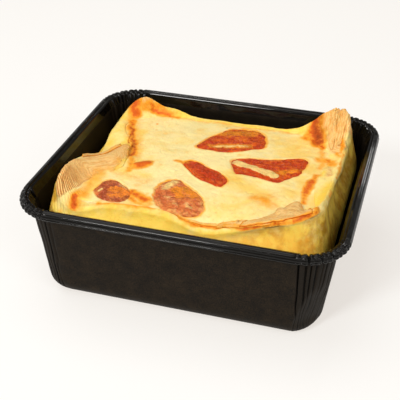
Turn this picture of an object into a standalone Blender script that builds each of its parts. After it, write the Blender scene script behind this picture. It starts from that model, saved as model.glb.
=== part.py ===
"""Tomato quiche in its own black paperboard baking tray.

The origin is the centre of the tray's underside. +X runs along the tray's long side,
-Y is the front, and +Z is up. All sizes are real sizes.
"""
import math

import bpy
import bmesh

MM = 0.001
GAP = 0.4 * MM

# Tray, outer sizes
TRAY_LENGTH = 125.0 * MM
TRAY_DEPTH = 110.9 * MM
TRAY_HEIGHT = 43.8 * MM
BOARD = 0.9 * MM
ROLL_RADIUS = 2.17 * MM
RIM_CORNER = 17.1 * MM
FLOOR_HALF_X = 52.9 * MM
FLOOR_HALF_Y = 45.8 * MM
FLOOR_CORNER = 8.0 * MM
FLOOR_FILLET = 7.0 * MM
PLEATS_PER_CORNER = 9
PLEAT_DEPTH = 0.7 * MM
CRIMP_DEPTH = 0.25 * MM

# Dent at the tray's front right corner, low down
DENT_ANGLE = math.radians(-41.0)
DENT_REACH = 66.3 * MM
DENT_TOP = 27.0 * MM
DENT_LEAN = 0.42

# Pastry case
CASE_HALF_X = 50.4 * MM
CASE_HALF_Y = 42.7 * MM
CASE_CENTRE_Y = 1.3 * MM
CASE_CORNER = 11.0 * MM
CASE_BULGE_HEIGHT = 24.0 * MM
CASE_BULGE_INSET = 1.3 * MM
CASE_SAG = 1.0 * MM
CASE_WALL = 3.6 * MM
CASE_FLOOR = 3.0 * MM
LIP_EDGE = 0.9 * MM

# Filling
FILL_HEIGHT = 40.0 * MM
FILL_SLOPE = -0.05
FILL_DOME = 1.2 * MM

# Sampling of the walls and of the filling's top
SIDE_X_STEPS = 18
SIDE_Y_STEPS = 16
CORNER_STEPS = 13
TRAY_SIDE_STEPS = 3
FILL_RINGS = 7


def bump(x, y, centre_x, centre_y, spread_x, spread_y, size):
    """Smooth hill of the given size; all lengths in millimetres."""
    across = (x - centre_x) / spread_x
    along = (y - centre_y) / spread_y
    return size * math.exp(-0.5 * (across * across + along * along))


def smooth_step(low, high, value):
    """Zero below low, one above high, and smooth between."""
    share = min(max((value - low) / (high - low), 0.0), 1.0)
    return share * share * (3.0 - 2.0 * share)


def fill_height(x, y):
    """Height of the filling's top at a place in the plan."""
    dome = (1.0 - (x / CASE_HALF_X) ** 2) * (1.0 - (y / CASE_HALF_Y) ** 2)
    millimetre_x = x / MM
    millimetre_y = y / MM
    waves = 0.25 * math.sin(0.31 * millimetre_x + 0.6) * math.cos(0.23 * millimetre_y)
    front_sag = bump(millimetre_x, millimetre_y, 11.0, -42.0, 7.5, 6.0, -4.4)
    return FILL_HEIGHT + FILL_SLOPE * y + FILL_DOME * dome + (waves + front_sag) * MM


def crest_lift(x, y):
    """How far the pastry's crest stands above or below the filling."""
    x = x / MM
    y = y / MM
    lift = 0.6
    lift += bump(x, y, -43.0, 44.0, 6.0, 5.5, 7.0)
    lift += bump(x, y, -29.0, 44.0, 4.5, 4.0, 2.2)
    lift += bump(x, y, -51.0, 6.0, 7.0, 8.0, -6.0)
    lift += bump(x, y, -50.0, -25.0, 9.0, 9.0, 5.6)
    lift += bump(x, y, -42.0, -42.0, 7.0, 5.0, -4.2)
    lift += bump(x, y, -14.0, -41.0, 9.0, 5.0, 1.2)
    lift += bump(x, y, 51.0, -37.0, 13.0, 13.0, 8.6)
    lift += bump(x, y, 51.0, -6.0, 7.0, 12.0, 1.8)
    ear_spread = 9.0 if x < 46.5 else 4.5
    lift += bump(x, y, 46.5, 42.0, ear_spread, 9.5, 15.4)
    lift += bump(x, y, 45.8, 44.0, 1.4, 3.0, -2.0)
    return lift * MM


def lip_width(x, y):
    """How far the pastry reaches in over the filling from its crest."""
    x = x / MM
    y = y / MM
    width = 2.6
    width += bump(x, y, -47.0, 42.0, 8.0, 7.0, 5.5)
    width += bump(x, y, -51.0, 14.0, 8.0, 7.0, 6.0)
    width += bump(x, y, -51.0, -10.0, 8.0, 17.0, 15.0)
    width += bump(x, y, -51.0, -21.0, 8.0, 4.5, 4.0)
    width += bump(x, y, 51.0, 0.0, 8.0, 16.0, 5.0)
    width += bump(x, y, 47.0, 40.0, 9.0, 10.0, 10.0)
    width += bump(x, y, 48.0, -38.5, 6.0, 6.0, 14.5)
    width += bump(x, y, 23.0, -42.0, 6.0, 4.0, 2.4)
    return width * MM


def flap_lift(x, y):
    """Thickness of the folded pastry that lies on the filling at the lip."""
    x = x / MM
    y = y / MM
    lift = 0.2
    lift += bump(x, y, -50.0, -9.0, 14.0, 14.0, 1.9)
    lift += bump(x, y, 45.0, -38.0, 12.0, 11.0, 1.9)
    lift += bump(x, y, 23.0, -41.0, 7.0, 6.0, 0.9)
    return lift * MM


def flake_ridge(x, y, step):
    """Small folds of the flaky layers at the raised corners."""
    x = x / MM
    y = y / MM
    weight = bump(x, y, 47.0, 42.0, 7.0, 9.0, 0.7)
    weight += bump(x, y, -51.0, -30.0, 7.0, 7.0, 0.55)
    weight += bump(x, y, 46.0, -40.0, 9.0, 6.0, 0.15)
    ripple = 0.14 * math.sin(0.37 * step) + 0.08 * math.sin(0.91 * step + 1.1)
    return (weight * (-1.0) ** step + ripple) * MM


def press_corner(point):
    """Press a point in where the front right corner is dented."""
    x, y, z = point
    outward_x = math.cos(DENT_ANGLE)
    outward_y = math.sin(DENT_ANGLE)
    limit = DENT_REACH + DENT_LEAN * (z - 0.5 * DENT_TOP)
    excess = x * outward_x + y * outward_y - limit
    if excess <= 0.0:
        return point
    share = 0.75 * (1.0 - smooth_step(0.6 * DENT_TOP, DENT_TOP, z))
    return (x - share * excess * outward_x, y - share * excess * outward_y, z)


def rounded_outline(half_x, half_y, corner, steps_x, steps_y, corner_steps):
    """Rounded rectangle, anticlockwise from the right side's lower end.

    Each entry is (x, y, normal_x, normal_y, share of the corner's turn or None).
    """
    entries = []
    sides = (
        (half_x, corner - half_y, half_x, half_y - corner, 0.0, steps_y),
        (half_x - corner, half_y, corner - half_x, half_y, 90.0, steps_x),
        (-half_x, half_y - corner, -half_x, corner - half_y, 180.0, steps_y),
        (corner - half_x, -half_y, half_x - corner, -half_y, 270.0, steps_x),
    )
    for start_x, start_y, end_x, end_y, turn, steps in sides:
        angle = math.radians(turn)
        normal_x = math.cos(angle)
        normal_y = math.sin(angle)
        for step in range(steps):
            share = step / steps
            x = start_x + (end_x - start_x) * share
            y = start_y + (end_y - start_y) * share
            entries.append((x, y, normal_x, normal_y, None))
        centre_x = end_x - corner * normal_x
        centre_y = end_y - corner * normal_y
        for step in range(corner_steps):
            share = step / corner_steps
            direction = angle + 0.5 * math.pi * share
            normal = (math.cos(direction), math.sin(direction))
            x = centre_x + corner * normal[0]
            y = centre_y + corner * normal[1]
            entries.append((x, y, normal[0], normal[1], share))
    return entries


def loft(name, rings, close_start=True, close_end=True, falling=False):
    """Skin a list of equal rings of points into one mesh object.

    Facing surfaces of two neighbours are split along the same diagonals: the one
    whose rings run the other way is falling.
    """
    mesh = bpy.data.meshes.new(name)
    shape = bmesh.new()
    levels = [[shape.verts.new(point) for point in ring] for ring in rings]
    count = len(rings[0])
    for lower, upper in zip(levels, levels[1:]):
        for index in range(count):
            following = (index + 1) % count
            if falling:
                shape.faces.new((lower[index], lower[following], upper[index]))
                shape.faces.new((lower[following], upper[following], upper[index]))
            else:
                shape.faces.new((lower[index], lower[following], upper[following]))
                shape.faces.new((lower[index], upper[following], upper[index]))
    if close_start:
        cap_ring(shape, levels[0][::-1])
    if close_end:
        cap_ring(shape, levels[-1])
    shape.to_mesh(mesh)
    shape.free()
    return bpy.data.objects.new(name, mesh)


def cap_ring(shape, ring):
    """Close a ring with a fan round its middle."""
    middle = shape.verts.new([sum(vert.co[axis] for vert in ring) / len(ring) for axis in range(3)])
    for index, vert in enumerate(ring):
        shape.faces.new((vert, ring[(index + 1) % len(ring)], middle))


def tray_ring(half_x, half_y, corner, height, pleat, crimp=0.0):
    """One level of the tray's outer face."""
    points = []
    corner_steps = 2 * PLEATS_PER_CORNER
    outline = rounded_outline(half_x, half_y, corner, TRAY_SIDE_STEPS, TRAY_SIDE_STEPS, corner_steps)
    for x, y, normal_x, normal_y, share in outline:
        inward = 0.0
        if share is not None:
            inward = 0.5 * (pleat + crimp) * (1.0 - math.cos(2.0 * math.pi * PLEATS_PER_CORNER * share))
        point = (x - inward * normal_x, y - inward * normal_y, height)
        points.append(press_corner(point))
    return points


def tray_wall_rings():
    """Levels of the tray from the floor's edge to just under the rolled rim."""
    wall_top = TRAY_HEIGHT - 2.0 * ROLL_RADIUS
    top_half_x = 0.5 * TRAY_LENGTH - 2.0 * ROLL_RADIUS
    top_half_y = 0.5 * TRAY_DEPTH - 2.0 * ROLL_RADIUS
    top_corner = RIM_CORNER - 2.0 * ROLL_RADIUS
    rings = []
    for step in range(4):
        turn = 0.5 * math.pi * step / 3.0
        height = FLOOR_FILLET * (1.0 - math.cos(turn))
        share = height / wall_top
        back = FLOOR_FILLET * (1.0 - math.sin(turn))
        half_x = FLOOR_HALF_X + (top_half_x - FLOOR_HALF_X) * share - back
        half_y = FLOOR_HALF_Y + (top_half_y - FLOOR_HALF_Y) * share - back
        corner = FLOOR_CORNER + (top_corner - FLOOR_CORNER) * share - 0.35 * back
        rings.append(tray_ring(half_x, half_y, corner, height, 0.15 * step * PLEAT_DEPTH))
    for level in (0.4, 0.7, 1.0):
        half_x = FLOOR_HALF_X + (top_half_x - FLOOR_HALF_X) * level
        half_y = FLOOR_HALF_Y + (top_half_y - FLOOR_HALF_Y) * level
        corner = FLOOR_CORNER + (top_corner - FLOOR_CORNER) * level
        pleat = PLEAT_DEPTH * (0.6 + 0.4 * level)
        rings.append(tray_ring(half_x, half_y, corner, wall_top * level, pleat))
    return rings


def tray_roll_rings():
    """Levels of the rolled rim, over the top and back under towards the wall."""
    inner_radius = ROLL_RADIUS - BOARD
    centre_inset = ROLL_RADIUS
    centre_height = TRAY_HEIGHT - ROLL_RADIUS
    rings = []
    for step in range(7):
        turn = math.radians(180.0 - 40.0 * step)
        inset = centre_inset - inner_radius * math.cos(turn)
        height = centre_height + inner_radius * math.sin(turn)
        half_x = 0.5 * TRAY_LENGTH - inset
        half_y = 0.5 * TRAY_DEPTH - inset
        rings.append(tray_ring(half_x, half_y, RIM_CORNER - inset, height, 0.0, CRIMP_DEPTH))
    return rings


def build_tray():
    """Pressed board tray: flat floor, pleated corners and a rolled rim."""
    tray = loft("tray", tray_wall_rings() + tray_roll_rings(), close_end=False)
    thickness = tray.modifiers.new("board", "SOLIDIFY")
    thickness.thickness = BOARD
    thickness.offset = -1.0
    thickness.use_even_offset = True
    return tray


def case_outline(half_x, half_y, corner, centre_y):
    """Outline of the pastry case at one level, moved to its centre."""
    outline = rounded_outline(half_x, half_y, corner, SIDE_X_STEPS, SIDE_Y_STEPS, CORNER_STEPS)
    return [(x, y + centre_y) for x, y, normal_x, normal_y, share in outline]


def toward_middle(place, distance):
    """Move a place of the plan towards the middle by a distance."""
    x, y = place
    reach = math.hypot(x, y)
    return (x * (1.0 - distance / reach), y * (1.0 - distance / reach))


def tray_inside_half(height):
    """Half sizes of the tray's inside at a height."""
    wall_top = TRAY_HEIGHT - 2.0 * ROLL_RADIUS
    share = height / wall_top
    half_x = FLOOR_HALF_X + (0.5 * TRAY_LENGTH - 2.0 * ROLL_RADIUS - FLOOR_HALF_X) * share
    half_y = FLOOR_HALF_Y + (0.5 * TRAY_DEPTH - 2.0 * ROLL_RADIUS - FLOOR_HALF_Y) * share
    return half_x - BOARD, half_y - BOARD


def case_side_ring(height, inset, corner, sag=0.0):
    """One level of the case's outer side, a little inside the tray.

    Sag lets the right and front sides slump out towards the tray.
    """
    half_x, half_y = tray_inside_half(height)
    ring = []
    for step, (x, y) in enumerate(case_outline(half_x - inset, half_y - inset, corner, 0.0)):
        slump = sag * max(smooth_step(0.3, 0.9, x / half_x), smooth_step(0.3, 0.9, -y / half_y))
        place = toward_middle((x, y), abs(0.3 * MM * math.sin(0.53 * step)) - slump)
        ring.append(press_corner((place[0], place[1], height)))
    return ring


def case_outer_rings():
    """Levels of the case from its floor up to where it leans in to the crest."""
    floor_height = BOARD + GAP
    return [
        case_side_ring(floor_height, 8.2 * MM, 8.0 * MM),
        case_side_ring(floor_height + 1.6 * MM, 5.2 * MM, 10.0 * MM),
        case_side_ring(0.35 * CASE_BULGE_HEIGHT, 2.6 * MM, 12.0 * MM),
        case_side_ring(CASE_BULGE_HEIGHT, CASE_BULGE_INSET, 13.0 * MM),
        case_side_ring(CASE_BULGE_HEIGHT + 7.0 * MM, 2.0 * CASE_BULGE_INSET, 13.0 * MM, CASE_SAG),
    ]


def crest_places():
    """Plan of the crest line, shared by the pastry and the filling."""
    return case_outline(CASE_HALF_X, CASE_HALF_Y, CASE_CORNER, CASE_CENTRE_Y)


def crest_ring(outward, drop):
    """A level near the crest, moved out from it and down."""
    ring = []
    for step, place in enumerate(crest_places()):
        x, y = toward_middle(place, flake_ridge(place[0], place[1], step) - outward)
        height = fill_height(*place) + crest_lift(*place) - drop
        ring.append((x, y, height))
    return ring


def lip_ring(share, thickness, inset):
    """A level between the crest and the edge of the lip that lies on the filling."""
    ring = []
    for step, place in enumerate(crest_places()):
        reach = 1.2 * MM + share * (lip_width(*place) - 1.2 * MM) + inset
        x, y = toward_middle(place, reach)
        crest = fill_height(*place) + crest_lift(*place)
        lip = fill_height(x, y) + flap_lift(*place)
        ease = 1.0 - (1.0 - share) ** 1.7
        ridge = flake_ridge(place[0], place[1], step) * (1.0 - share)
        ring.append((x, y, crest + (lip - crest) * ease + ridge - thickness))
    return ring


def inner_ring(height, wall):
    """A level of the case's inner wall, under the filling."""
    half_x, half_y = tray_inside_half(height)
    places = case_outline(half_x - wall, half_y - wall, 10.0 * MM, 0.0)
    return [press_corner((x, y, height)) for x, y in places]


def shoulder_ring(shift):
    """Top of the inner wall, just under the pastry's crest."""
    ring = []
    for place in crest_places():
        x, y = toward_middle(place, CASE_WALL + shift)
        lowest = min(fill_height(*place), fill_height(*place) + crest_lift(*place))
        ring.append((x, y, lowest - 3.6 * MM - shift))
    return ring


def build_pastry_case():
    """Pastry cup with a wavy crest, raised corners and folded flaps."""
    rings = case_outer_rings()
    rings.append(crest_ring(1.6 * MM, 4.2 * MM))
    rings.append(crest_ring(0.5 * MM, 1.2 * MM))
    rings.append(lip_ring(0.0, 0.0, 0.0))
    rings.append(lip_ring(0.35, 0.0, 0.0))
    rings.append(lip_ring(0.7, 0.0, 0.0))
    rings.append(lip_ring(1.0, 0.0, 0.0))
    rings.append(lip_ring(1.0, LIP_EDGE, 0.0))
    rings.append(shoulder_ring(0.0))
    rings.append(inner_ring(CASE_BULGE_HEIGHT, CASE_BULGE_INSET + CASE_WALL))
    rings.append(inner_ring(BOARD + GAP + CASE_FLOOR, 10.5 * MM))
    return loft("pastry_case", rings)


def shrink(ring, distance):
    """Copy of a ring moved towards the middle."""
    return [(*toward_middle((x, y), distance), z) for x, y, z in ring]


def filling_top_ring(share):
    """A level of the filling's top, scaled down towards the middle."""
    ring = []
    for place in crest_places():
        reach = lip_width(*place) + GAP
        x, y = toward_middle(place, reach)
        ring.append((x * share, y * share, fill_height(x * share, y * share)))
    return ring


def build_custard():
    """The filling, one solid up to its browned top."""
    floor_height = BOARD + 2.0 * GAP + CASE_FLOOR
    rings = [
        inner_ring(floor_height, 10.5 * MM + GAP),
        inner_ring(CASE_BULGE_HEIGHT, CASE_BULGE_INSET + CASE_WALL + GAP),
        shoulder_ring(GAP),
        shrink(lip_ring(1.0, LIP_EDGE + GAP, 0.0), GAP),
    ]
    for step in range(FILL_RINGS):
        share = 1.0 - (step / FILL_RINGS) ** 1.15
        rings.append(filling_top_ring(share))
    return loft("custard", rings, falling=True)


# Tomato pieces: name, middle, length, width, turn in degrees, taper, sweep of the bend
TOMATOES = (
    ("tomato_back", 2.6 * MM, 23.4 * MM, 30.0 * MM, 17.5 * MM, 24.0, 0.34, 0.04),
    ("tomato_right", 22.0 * MM, 4.0 * MM, 32.0 * MM, 15.0 * MM, 8.0, 0.26, 0.06),
    ("tomato_middle", 0.4 * MM, -7.2 * MM, 22.5 * MM, 9.5 * MM, -38.0, 0.05, 0.05),
    ("tomato_front", -5.6 * MM, -24.8 * MM, 27.5 * MM, 18.0 * MM, -48.0, 0.04, 0.05),
    ("tomato_left", -29.6 * MM, -29.6 * MM, 20.0 * MM, 14.5 * MM, -52.0, -0.10, 0.0),
)
TOMATO_SUNK = 1.3 * MM
TOMATO_DOME = 0.9 * MM
TOMATO_POINTS = 24


def tomato_ring(tomato, share, rise, grow):
    """One ring of a tomato piece, as a share of its outline and a rise over the filling."""
    name, middle_x, middle_y, length, width, turn, taper, bend = tomato
    angle = math.radians(turn)
    ring = []
    for step in range(TOMATO_POINTS):
        way = 2.0 * math.pi * step / TOMATO_POINTS
        wobble = 1.0 + 0.05 * math.sin(3.0 * way + turn) + 0.03 * math.sin(7.0 * way)
        along = (0.5 * length * wobble * share + grow) * math.cos(way)
        across = (0.5 * width * wobble * share + grow) * math.sin(way)
        across *= 1.0 + taper * math.cos(way)
        across += bend * length * (math.cos(way) ** 2 - 0.5) * share
        x = middle_x + along * math.cos(angle) - across * math.sin(angle)
        y = middle_y + along * math.sin(angle) + across * math.cos(angle)
        wrinkle = 0.22 * MM * math.sin(4.0 * way + 9.0 * share) * (1.0 - share) * (rise > 0.0)
        ring.append((x, y, fill_height(x, y) + rise + wrinkle))
    return ring


def tomato_rings(tomato, grow):
    """Rings of a tomato piece from its underside to its wrinkled top."""
    return [
        tomato_ring(tomato, 0.80, -TOMATO_SUNK - grow, grow),
        tomato_ring(tomato, 1.0, -0.5 * TOMATO_SUNK, grow),
        tomato_ring(tomato, 0.99, 0.35 * TOMATO_DOME + grow, grow),
        tomato_ring(tomato, 0.82, TOMATO_DOME + grow, grow),
        tomato_ring(tomato, 0.45, 0.8 * TOMATO_DOME + grow, grow),
    ]


def cut_recess(custard, tomato, cutters):
    """Cut the recess that one tomato piece lies in, a little larger than the piece."""
    cutter = loft("recess_" + tomato[0], tomato_rings(tomato, GAP))
    cutter.display_type = "WIRE"
    cutter.hide_render = True
    cutters.objects.link(cutter)
    cut = custard.modifiers.new(cutter.name, "BOOLEAN")
    cut.operation = "DIFFERENCE"
    cut.object = cutter


def give_material(piece, name, colour, roughness):
    """Give a piece its own plain material."""
    material = bpy.data.materials.new(name)
    material.use_nodes = True
    shader = material.node_tree.nodes["Principled BSDF"]
    shader.inputs["Base Color"].default_value = (*colour, 1.0)
    shader.inputs["Roughness"].default_value = roughness
    piece.data.materials.append(material)


def build_tomatoes(custard, parts, cutters):
    """The five tomato pieces set in the filling's top."""
    for tomato in TOMATOES:
        piece = loft(tomato[0], tomato_rings(tomato, 0.0))
        parts.objects.link(piece)
        give_material(piece, tomato[0] + "_flesh", (0.36, 0.05, 0.02), 0.3)
        cut_recess(custard, tomato, cutters)


def clear_scene():
    """Remove whatever the scene holds."""
    for item in list(bpy.data.objects):
        bpy.data.objects.remove(item, do_unlink=True)


def main():
    """Build the quiche and its tray."""
    clear_scene()
    parts = bpy.data.collections.new("tomato_quiche")
    cutters = bpy.data.collections.new("cutters")
    bpy.context.scene.collection.children.link(parts)
    bpy.context.scene.collection.children.link(cutters)
    tray = build_tray()
    pastry = build_pastry_case()
    custard = build_custard()
    for piece in (tray, pastry, custard):
        parts.objects.link(piece)
    give_material(tray, "black_board", (0.015, 0.013, 0.012), 0.4)
    give_material(pastry, "baked_pastry", (0.75, 0.46, 0.13), 0.5)
    give_material(custard, "set_custard", (0.90, 0.66, 0.22), 0.4)
    build_tomatoes(custard, parts, cutters)


main()
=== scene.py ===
"""Looks of a tomato quiche in its black board baking tray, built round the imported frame.

Forms are worked out in millimetres and turned into metres when a mesh is made. The origin
is the centre of the tray's underside, +X runs to the right and -Y to the front.
"""
import logging
import math
from contextlib import contextmanager
from dataclasses import dataclass
from enum import Enum
from typing import Callable, Iterator, Sequence

import bpy
import numpy as np
from mathutils import Matrix, Vector, noise
from mathutils.bvhtree import BVHTree


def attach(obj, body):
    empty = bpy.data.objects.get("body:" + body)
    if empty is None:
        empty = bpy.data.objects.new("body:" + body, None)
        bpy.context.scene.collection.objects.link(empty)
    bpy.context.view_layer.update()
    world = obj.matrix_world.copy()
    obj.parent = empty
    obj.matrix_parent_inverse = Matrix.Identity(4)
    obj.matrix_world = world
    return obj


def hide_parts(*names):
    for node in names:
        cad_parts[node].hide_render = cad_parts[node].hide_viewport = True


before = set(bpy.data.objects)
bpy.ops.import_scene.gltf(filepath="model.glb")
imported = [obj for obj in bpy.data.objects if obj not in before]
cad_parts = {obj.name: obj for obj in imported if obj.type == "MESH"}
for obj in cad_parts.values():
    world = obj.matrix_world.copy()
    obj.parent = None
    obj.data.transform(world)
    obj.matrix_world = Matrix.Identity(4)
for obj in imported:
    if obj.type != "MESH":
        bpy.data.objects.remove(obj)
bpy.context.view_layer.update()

Array = np.ndarray
Colour = tuple[float, float, float]
Piece = bpy.types.Object
Material = bpy.types.Material
Socket = bpy.types.NodeSocket
MM = 0.001
BODY = "root"
LOG = logging.getLogger("quiche")


class Slot(Enum):
    """The record's material slots."""

    BOARD = "tray_board"
    PASTRY = "baked_pastry"
    CUSTARD = "set_custard"
    TOMATO = "baked_tomato"


class Tint(Enum):
    """Channels of the painted attribute that the finishes read."""

    GOLD = 0
    CREAM = 1
    BROWN = 2
    DARK = 3


class Coat(Enum):
    """Channels of the painted attribute that the board's finish reads: painted shade on the inner faces and
    in the folds, painted highlight on the ridges between them.
    """

    INSIDE = 1
    FOLD = 2
    RIDGE = 3


@dataclass(frozen=True)
class Hill:
    """A smooth hill, or a hollow where its size is negative, in millimetres."""

    x: float
    y: float
    spread_x: float
    spread_y: float
    size: float

    def at(self, x: Array, y: Array) -> Array:
        """Height of the hill at places of the plan.

        Args:
            x: Places along X.
            y: Places along Y.

        Returns:
            The height at each place.
        """
        across = (x - self.x) / self.spread_x
        along = (y - self.y) / self.spread_y
        return self.size * np.exp(-0.5 * (across**2 + along**2))

    def share(self, x: Array, y: Array) -> Array:
        """Share that the hill has of places of the plan: 1 round its middle, 0 far away."""
        return np.minimum(1.6 * self.at(x, y), 1.0)


@dataclass(frozen=True)
class Stroke:
    """A soft stroke of one tint between two places of the plan, in millimetres."""

    start: tuple[float, float]
    end: tuple[float, float]
    radius: float
    tint: Tint
    amount: float = 1.0
    soft: float = 1.0

    def at(self, x: Array, y: Array) -> Array:
        """Strength of the stroke at places of the plan.

        Args:
            x: Places along X.
            y: Places along Y.

        Returns:
            The amount on the stroke, falling to zero over its soft edge.
        """
        along_x = self.end[0] - self.start[0]
        along_y = self.end[1] - self.start[1]
        length = max(along_x**2 + along_y**2, 1e-9)
        share = ((x - self.start[0]) * along_x + (y - self.start[1]) * along_y) / length
        share = np.clip(share, 0.0, 1.0)
        away = np.hypot(x - self.start[0] - share * along_x, y - self.start[1] - share * along_y)
        return self.amount * (1.0 - smooth_step(self.radius - self.soft, self.radius + self.soft, away))


def smooth_step(low: float, high: float, value: Array) -> Array:
    """Zero below low, one above high, and smooth between."""
    share = np.clip((value - low) / (high - low), 0.0, 1.0)
    return share * share * (3.0 - 2.0 * share)


def bell(value: Array, middle: float, width: float) -> Array:
    """One at the middle, falling off smoothly to both sides."""
    return np.exp(-(((value - middle) / width) ** 2))


def add_hills(hills: Sequence[Hill], x: Array, y: Array) -> Array:
    """Sum of several hills at places of the plan."""
    return sum((hill.at(x, y) for hill in hills), np.zeros_like(x))


def at_height(plan: Array, height: Array | float) -> Array:
    """Places of the plan with their heights as a third column."""
    return np.column_stack((plan, np.broadcast_to(height, len(plan))))


def level_plane(across: Array, along: Array) -> Array:
    """Points of a level plane from their two coordinates."""
    return np.column_stack((across, along, np.zeros_like(across)))


def blend(channels: Array, tint: Tint, values: Array) -> None:
    """Keep the stronger of a painted channel and new values."""
    channels[:, tint.value] = np.maximum(channels[:, tint.value], values)


def marks(tint: Tint, rows: Sequence[tuple[float, ...]]) -> list[Stroke]:
    """Strokes of one tint, each given by its start, end, radius, amount and soft edge."""
    return [Stroke(row[:2], row[2:4], row[4], tint, *row[5:]) for row in rows]


def chain(places: Sequence[tuple[float, float]], radius: float, tint: Tint, amount: float,
          soft: float = 1.0) -> list[Stroke]:
    """Strokes of one tint that join places one after another."""
    return [Stroke(start, end, radius, tint, amount, soft) for start, end in zip(places, places[1:])]


def rough(points: Array, pitch: float, octaves: int = 4, shift: float = 0.0) -> Array:
    """Fractal noise at points, about -1 to 1.

    Args:
        points: Places, one row each, in millimetres.
        pitch: Size of the largest lumps in millimetres, or one size for each axis.
        octaves: Number of finer layers.
        shift: Offset that picks another pattern.

    Returns:
        One value for each point.
    """
    scaled = points / pitch + shift
    values = [noise.fractal(Vector(place), 1.0, 2.0, octaves) for place in scaled.tolist()]
    return np.array(values)


class Skin:
    """Makes meshes by hand-like steps: a primitive, extruded and then pressed to its form."""

    @staticmethod
    def deselect() -> None:
        """Leave nothing selected."""
        bpy.ops.object.select_all(action="DESELECT")

    @staticmethod
    def only(piece: Piece) -> None:
        """Make one piece the only one selected, and the active one.

        Args:
            piece: The piece to select.
        """
        Skin.deselect()
        piece.select_set(True)
        bpy.context.view_layer.objects.active = piece

    @staticmethod
    @contextmanager
    def editing() -> Iterator[None]:
        """Stay in edit mode for the steps inside."""
        bpy.ops.object.mode_set(mode="EDIT")
        yield
        bpy.ops.object.mode_set(mode="OBJECT")

    @staticmethod
    def start(name: str, primitive: Callable[..., set[str]], **settings: object) -> Piece:
        """Add a primitive mesh to be pressed to its form, and name it.

        Args:
            name: The piece's name.
            primitive: Blender's operator that adds the mesh.
            **settings: The operator's settings.

        Returns:
            The new piece.
        """
        Skin.deselect()
        primitive(**settings)
        piece = bpy.context.active_object
        piece.name = name
        piece.data.name = name
        return piece

    @staticmethod
    def solidify(piece: Piece, thickness: float) -> None:
        """Close a single sheet of faces into a thin solid, grown inwards.

        Args:
            piece: The sheet.
            thickness: Thickness in millimetres.
        """
        body = piece.modifiers.new("thickness", "SOLIDIFY")
        body.thickness = thickness * MM
        body.offset = -1.0
        Skin.only(piece)
        bpy.ops.object.modifier_apply(modifier=body.name)

    @staticmethod
    def press(piece: Piece, places: Array) -> None:
        """Set a piece's points, given in millimetres."""
        piece.data.vertices.foreach_set("co", (places * MM).astype(np.float32).ravel())
        piece.data.update()

    @staticmethod
    def points(piece: Piece) -> Array:
        """A piece's points in millimetres.

        Args:
            piece: The piece.

        Returns:
            One row for each point.
        """
        flat = np.empty(3 * len(piece.data.vertices), dtype=np.float32)
        piece.data.vertices.foreach_get("co", flat)
        return flat.reshape(-1, 3).astype(float) / MM

    @staticmethod
    def normals(piece: Piece) -> Array:
        """A piece's outward normals at its points.

        Args:
            piece: The piece.

        Returns:
            One row for each point.
        """
        flat = np.empty(3 * len(piece.data.vertices), dtype=np.float32)
        piece.data.vertex_normals.foreach_get("vector", flat)
        return flat.reshape(-1, 3).astype(float)

    @staticmethod
    def pull_up(name: str, rings: Array, close_end: bool) -> Piece:
        """Extrude a circle ring by ring and press each ring to its place.

        Args:
            name: The piece's name.
            rings: Places of every ring's points in millimetres: ring, station, axis.
            close_end: Whether the last ring is closed too, as the first one is.

        Returns:
            The new piece, closed at its first ring.
        """
        levels, stations = rings.shape[:2]
        circle = bpy.ops.mesh.primitive_circle_add
        piece = Skin.start(name, circle, vertices=stations, radius=1.0, fill_type="NOTHING")
        with Skin.editing():
            bpy.ops.mesh.select_all(action="SELECT")
            for _ in range(levels - 1):
                bpy.ops.mesh.extrude_edges_move(TRANSFORM_OT_translate={"value": (0.0, 0.0, 1.0)})
        raw = Skin.points(piece) * MM
        level = np.rint(raw[:, 2]).astype(int)
        turn = np.arctan2(raw[:, 1], raw[:, 0]) / (2.0 * math.pi)
        station = np.rint(turn * stations).astype(int) % stations
        Skin.press(piece, rings[level, station])
        ends = (0, levels - 1) if close_end else (0,)
        for end in ends:
            Skin.close(piece, level == end)
        Skin.outward(piece)
        return piece

    @staticmethod
    def close(piece: Piece, chosen: Array) -> None:
        """Close the ring of the chosen points with a fan of faces.

        Args:
            piece: The piece that holds the ring.
            chosen: True for each point of the ring, in the order before any closing.
        """
        mesh = piece.data
        Skin.only(piece)
        mask = np.zeros(len(mesh.vertices), dtype=bool)
        mask[: len(chosen)] = chosen
        Skin.choose(piece, mask)
        with Skin.editing():
            bpy.ops.mesh.edge_face_add()
            bpy.ops.mesh.poke()

    @staticmethod
    def choose(piece: Piece, mask: Array) -> None:
        """Select only the points of a mask, with the edges and faces between them.

        Args:
            piece: The piece.
            mask: True for each point to select.
        """
        mesh = piece.data
        mesh.vertices.foreach_set("select", mask)
        ends = np.empty(2 * len(mesh.edges), dtype=np.int32)
        mesh.edges.foreach_get("vertices", ends)
        mesh.edges.foreach_set("select", mask[ends].reshape(-1, 2).all(axis=1))
        mesh.polygons.foreach_set("select", [False] * len(mesh.polygons))
        bpy.context.tool_settings.mesh_select_mode = (True, False, False)

    @staticmethod
    def outward(piece: Piece) -> None:
        """Turn all faces outwards and shade them smooth.

        Args:
            piece: The closed piece.
        """
        Skin.only(piece)
        with Skin.editing():
            bpy.ops.mesh.select_all(action="SELECT")
            bpy.ops.mesh.normals_make_consistent(inside=False)
        bpy.ops.object.shade_smooth()

    @staticmethod
    def relief(piece: Piece, lift: Array) -> None:
        """Move each point along its normal by a lift in millimetres."""
        Skin.press(piece, Skin.points(piece) + Skin.normals(piece) * lift[:, None])

    @staticmethod
    def paint(piece: Piece, name: str, channels: Array) -> None:
        """Store four painted channels as a colour attribute of the points."""
        attribute = piece.data.attributes.new(name, "FLOAT_COLOR", "POINT")
        attribute.data.foreach_set("color", np.clip(channels, 0.0, 1.0).astype(np.float32).ravel())

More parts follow.
